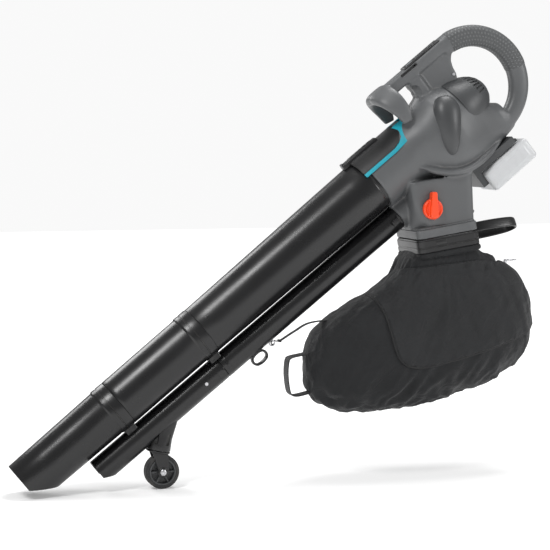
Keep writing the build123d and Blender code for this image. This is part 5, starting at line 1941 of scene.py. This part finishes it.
    def flap(self, body: Thing) -> Thing:
        """Return the padded flap: the bag's near face inside the flap's line, thickened."""
        form = Form()
        form.bm.from_mesh(body.data)
        bmesh.ops.transform(form.bm, matrix=self.space.matrix().inverted(), verts=form.bm.verts[:])
        away = [f for f in form.bm.faces if f.calc_center_median().y > -18]
        bmesh.ops.delete(form.bm, geom=away, context="FACES")
        line = [
            (p.x, p.z)
            for p in rounded_path([(x, 0, z) for x, z in (*self.flap_line, self.flap_line[0])],
                2)[:-1]]
        for (x0, z0), (x1, z1) in zip(line, line[1:] + line[:1]):
            middle = Vector(((x0 + x1) / 2, 0, (z0 + z1) / 2))
            reach = hypot(x1 - x0, z1 - z0) / 2 + 9
            near = [
                f for f in form.bm.faces
                if (Vector((f.calc_center_median().x, 0, f.calc_center_median().z))
                    - middle).length < reach]
            geom = list(dict.fromkeys(g for f in near for g in (*f.verts, *f.edges))) + near
            bmesh.ops.bisect_plane(
                form.bm, geom=geom, dist=0.01, plane_co=middle, plane_no=(z1 - z0, 0, x0 - x1))
        outside = [
            f for f in form.bm.faces if not inside(line, f.calc_center_median().x,
                f.calc_center_median().z)]
        bmesh.ops.delete(form.bm, geom=outside, context="FACES")
        bmesh.ops.remove_doubles(form.bm, verts=form.bm.verts[:], dist=0.3)
        for _ in range(3):
            bmesh.ops.smooth_vert(
                form.bm, verts=[v for v in form.bm.verts if not v.is_boundary], factor=0.5,
                use_axis_x=True, use_axis_y=True, use_axis_z=True)
        form.bm.normal_update()
        for vert in form.bm.verts:
            vert.co += vert.normal * (5.0 if not vert.is_boundary else 1.6)
        bmesh.ops.solidify(form.bm, geom=form.bm.faces[:], thickness=3.0)
        return form.to_object("front_flap", self.space, 60)

    def piping(self, tree: BVHTree) -> Thing:
        """Return the piping along the flap's front and lower edge."""
        form = Form()
        line = rounded_path([(x, 0, z) for x, z in self.flap_line[:13]], 6)
        found = self.on_bag(tree, [(p.x, p.z) for p in line])
        form.sweep(found, [(2.8, 2.8)] * len(found), 2.0, 12, flat=Vector((0, 1, 0.01)))
        return form.to_object("flap_piping", self.space, 60)

    def on_bag(self, tree: BVHTree, line: Iterable[Corner], lift: float = 1.2) -> list[Vector]:
        """Return where points of a side view meet the bag's near face.

        Args:
            tree: The bag's skin.
            line: Points as (x, z) in the level space.
            lift: Height above the skin.

        Returns:
            Points in the level space.
        """
        found = []
        back = self.space.matrix().inverted()
        for x, z in line:
            start = self.space.place(x, -200, z)
            hit = tree.ray_cast(start, Vector((0, 1, 0)))
            if hit[0] is not None:
                found.append(back @ (hit[0] + hit[1] * lift * MM))
        return found

    def collar(self) -> None:
        """Build the elastic hem that holds the bag on its frame."""
        form, rings = Form(), []
        for rise, out in (
                (-40, 61.5), (-38, 65.5), (-34, 66.4), (-30, 65.6), (-28.2, 63.6), (-28.4, 59),
                (-40, 57)):
            rings.append(Housing.square_ring(form, moved(0, 0, rise), out, 17))
        form.skin(rings, closed=True)
        made = form.settle("bag_hem", self.port, CLOTH, body=Body.BAG, sharp=60)

    def band(self, line: Sequence[Vector], half: float, thick: float) -> Form:
        """Return flat webbing along a line, with a UV map along and across it.

        Args:
            line: Points along its middle.
            half: Half its width.
            thick: Half its thickness.

        Returns:
            The webbing.
        """
        form = Form()
        form.sweep(line, [(half, thick)] * len(line), 5.0, 24)
        form.tidy()
        uv = form.bm.loops.layers.uv.new("along")
        for face in form.bm.faces:
            for loop in face.loops:
                near = min(range(len(line)), key=lambda i: (line[i] - loop.vert.co).length_squared)
                loop[uv].uv = (near * (line[1] - line[0]).length * MM, (loop.vert.co.y + half) * MM)
        return form

    def end_handle(self) -> None:
        """Build the webbing handle at the bag's front end."""
        line = rounded_path(
            [(-262, 0, -226), (-280, 0, -229), (-300, 0, -233), (-306, 0, -240), (-308, 0, -264),
                (-305, 0, -292), (-300, 0, -304), (-288, 0, -307), (-262, 0, -302)], 6)
        form = self.band(line, 15, 1.3)
        form.settle("end_webbing", self.space, WEB, ["bag_end_handle"], body=Body.BAG, sharp=60)

    def front_strap(self) -> None:
        """Build the strap that runs from the bag to the ring under the blow tube, and its hook."""
        first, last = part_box("front_strap")
        zero = self.space.place(0, 0, 0)
        start = Vector(((first[0] - zero.x) / MM + 1, 0, (first[2] - zero.z) / MM + 2))
        end = Vector(((last[0] - zero.x) / MM - 1, 0, (last[2] - zero.z) / MM - 2))
        line = rounded_path(
            [(end.x + 48, 0, end.z + 5), tuple(end),
                tuple((start + end) / 2 + Vector((0, 0, 1.5))), tuple(start)], 8)
        strap = self.band(line, 6, 1.1).to_object("front_webbing", self.space, 60)
        settle_blended(
            strap, WEB, ["front_strap"], self.space.place(start.x, 0, start.z),
            self.space.place(end.x, 0, end.z))
        tool = tool_space()
        low = Tubes(tool).under(HOOK_RING_AT) - HOOK_RING
        ring = tool.place(HOOK_RING_AT, 0, low)
        at = self.space.matrix().inverted() @ ring
        form = Form()
        wire = rounded_path(
            [(start.x + 3, 0, start.z + 1), (at.x + 9, 0, at.z + 3.4), (at.x + 3.4, 0, at.z + 4.8),
                (at.x - 1.2, 0, at.z + 1.6), (at.x + 0.2, 0, at.z - 2.4),
                (at.x + 4.4, 0, at.z - 2.0)], 7)
        form.sweep(wire, [(1.3, 1.3)] * len(wire), 2.0, 12)
        form.box((start.x - 3, -6.6, start.z - 2), (start.x + 2.4, 6.6, start.z + 3), round_to=1)
        form.settle("front_hook", self.space, BLACK, ["strap_hook"])

    def puller(self) -> None:
        """Build the zip puller's ring and slider."""
        low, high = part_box("zip_puller")
        zero = self.space.place(0, 0, 0)
        middle = Vector(((low[0] + high[0]) / 2 - zero.x, 0, high[2] - zero.z)) / MM
        form = Form()
        line = [
            Vector((middle.x + 2.4 + 10.2 * cos(tau * s / 40), 10.2 * sin(tau * s / 40),
                    middle.z - 1.2)) for s in range(40)]
        form.sweep(line, [(1.0, 1.0)] * 40, 2.0, 12, flat=Vector((0, 0, 1)), closed=True)
        form.box(
            (middle.x - 13, -2.4, middle.z - 7), (middle.x - 6.5, 2.4, middle.z + 0.2),
            round_to=0.9)
        form.settle("zip_pull_ring", self.space, STEEL, ["zip_puller"], body=Body.PULLER)


def inside(line: Sequence[Corner], x: float, z: float) -> bool:
    """Return whether a point lies inside a closed outline."""
    within = False
    for (x0, z0), (x1, z1) in zip(line, list(line[1:]) + [line[0]]):
        if (z0 > z) != (z1 > z) and x < (x1 - x0) * (z - z0) / (z1 - z0) + x0:
            within = not within
    return within


def settle_blended(
        piece: Thing, finish: Finish, replaces: Iterable[str], start: Vector, end: Vector) -> None:
    """Give a piece between the machine and the bag its finish, hide its CAD nodes, bake its place.

    Args:
        piece: The object.
        finish: Its finish.
        replaces: CAD nodes that it stands for.
        start: Not used.
        end: Not used.
    """
    piece.data.materials.append(finish.material())
    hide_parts(*replaces)
    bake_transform(piece)
    LOG.info("%s bends between the machine and the bag", piece.name)


# ---- studio ----
@dataclass(frozen=True)
class Studio:
    """Camera, floor and soft light."""

    azimuth: float = -17.0  # turn of the camera round the machine, in degrees
    elevation: float = 4.5  # its height above the horizon, in degrees
    distance: float = 3.3  # its distance from the target, in metres
    span: float = 1.045  # width that it frames at the target, in metres
    target: Point = (-0.0151, 0.0, 0.3962)  # what it looks at

    def camera(self) -> None:
        """Make the camera at the working view."""
        data = bpy.data.cameras.new("camera")
        data.sensor_width = 36.0
        data.lens = 36.0 * self.distance / self.span
        camera = bpy.data.objects.new("camera", data)
        turn, rise = radians(self.azimuth), radians(self.elevation)
        back = Vector((sin(turn) * cos(rise), -cos(turn) * cos(rise), sin(rise)))
        camera.location = Vector(self.target) + back * self.distance
        camera.rotation_mode = "QUATERNION"
        camera.rotation_quaternion = (-back).to_track_quat("-Z", "Y")
        bpy.context.scene.collection.objects.link(camera)
        bpy.context.scene.camera = camera

    def lamp(self, name: str, place: Point, size: float, power: float, tall: float = 0.0) -> None:
        """Add a soft area light that faces the machine.

        Args:
            name: Its name.
            place: Where it stands, in metres.
            size: Its width.
            power: Its power in watts.
            tall: Its height, if it isn't square.
        """
        data = bpy.data.lights.new(name, "AREA")
        data.energy = power
        data.size = size
        if tall:
            data.shape = "RECTANGLE"
            data.size_y = tall
        lamp = bpy.data.objects.new(name, data)
        lamp.location = place
        aim = Vector((0.05, 0, 0.42)) - Vector(place)
        lamp.rotation_mode = "QUATERNION"
        lamp.rotation_quaternion = aim.to_track_quat("-Z", "Y")
        bpy.context.scene.collection.objects.link(lamp)

    def floor(self) -> None:
        """Make the pale floor."""
        form = bmesh.new()
        bmesh.ops.create_grid(form, x_segments=1, y_segments=1, size=9.0)
        mesh = bpy.data.meshes.new("floor")
        form.to_mesh(mesh)
        form.free()
        made = bpy.data.objects.new("floor", mesh)
        made.location.z = -0.0005
        bpy.context.scene.collection.objects.link(made)
        pale = bpy.data.materials.new("floor_paint")
        pale.use_nodes = True
        shader = pale.node_tree.nodes["Principled BSDF"]
        nodes = Nodes(pale.node_tree)
        nodes.dress(
            shader, Base_Color=(0.88, 0.88, 0.88, 1), Roughness=0.8, Emission_Color=(1, 1, 1, 1))
        where = nodes.add("ShaderNodeTexCoord").outputs["Object"]
        away = nodes.add("ShaderNodeVectorMath", {0: where}, operation="LENGTH").outputs["Value"]
        nodes.dress(shader, Emission_Strength=nodes.ramp(away, 0.6, 3.0, 0.2, 0.9))
        mesh.materials.append(pale)

    def light(self) -> None:
        """Set the world and the lamps."""
        world = bpy.data.worlds.new("studio")
        world.use_nodes = True
        nodes = Nodes(world.node_tree)
        seen = nodes.add("ShaderNodeLightPath").outputs["Is Camera Ray"]
        nodes.dress(
            world.node_tree.nodes["Background"], Color=(1.0, 1.0, 1.0, 1),
            Strength=nodes.ramp(seen, 0.0, 1.0, 0.34, 0.95))
        bpy.context.scene.world = world
        bpy.context.scene.view_settings.view_transform = "Standard"
        self.lamp("key", (-1.9, -1.6, 2.9), 0.9, 62.0)
        self.lamp("top", (0.6, 0.3, 3.0), 1.4, 52.0)
        self.lamp("side", (2.5, -1.8, 1.5), 0.9, 26.0)
        self.lamp("back", (-1.2, 2.6, 2.0), 1.2, 26.0)


def swivel_space(tool: Space) -> Space:
    """Return the space on the castor's swivel axis, whose zero is on the swivel plane."""
    lean = radians(11.5)
    on_pipe = tool.place(-588, 0, -77.12)
    up = Vector((sin(lean), 0, cos(lean)))
    return Space(on_pipe - up * 66 * MM, Vector((cos(lean), 0, -sin(lean))), up)


def main() -> None:
    """Build the machine's looks piece by piece."""
    logging.basicConfig(level=logging.INFO, format="%(message)s")
    studio = Studio()
    studio.camera()
    studio.floor()
    studio.light()
    tool = tool_space()
    Housing(tool).build()
    Trims(tool).build()
    Tubes(tool).build()
    Castor(swivel_space(tool), joint_space("wheel_spin")).build()
    Controls(tool).build()
    Pack(tool).build()
    port = port_space(tool)
    BagFrame(port).build()
    Bag(Space(port.origin, Vector((1, 0, 0)), Vector((0, 0, 1))), port).build()
    Inner.build()


if __name__ == "__main__":
    main()
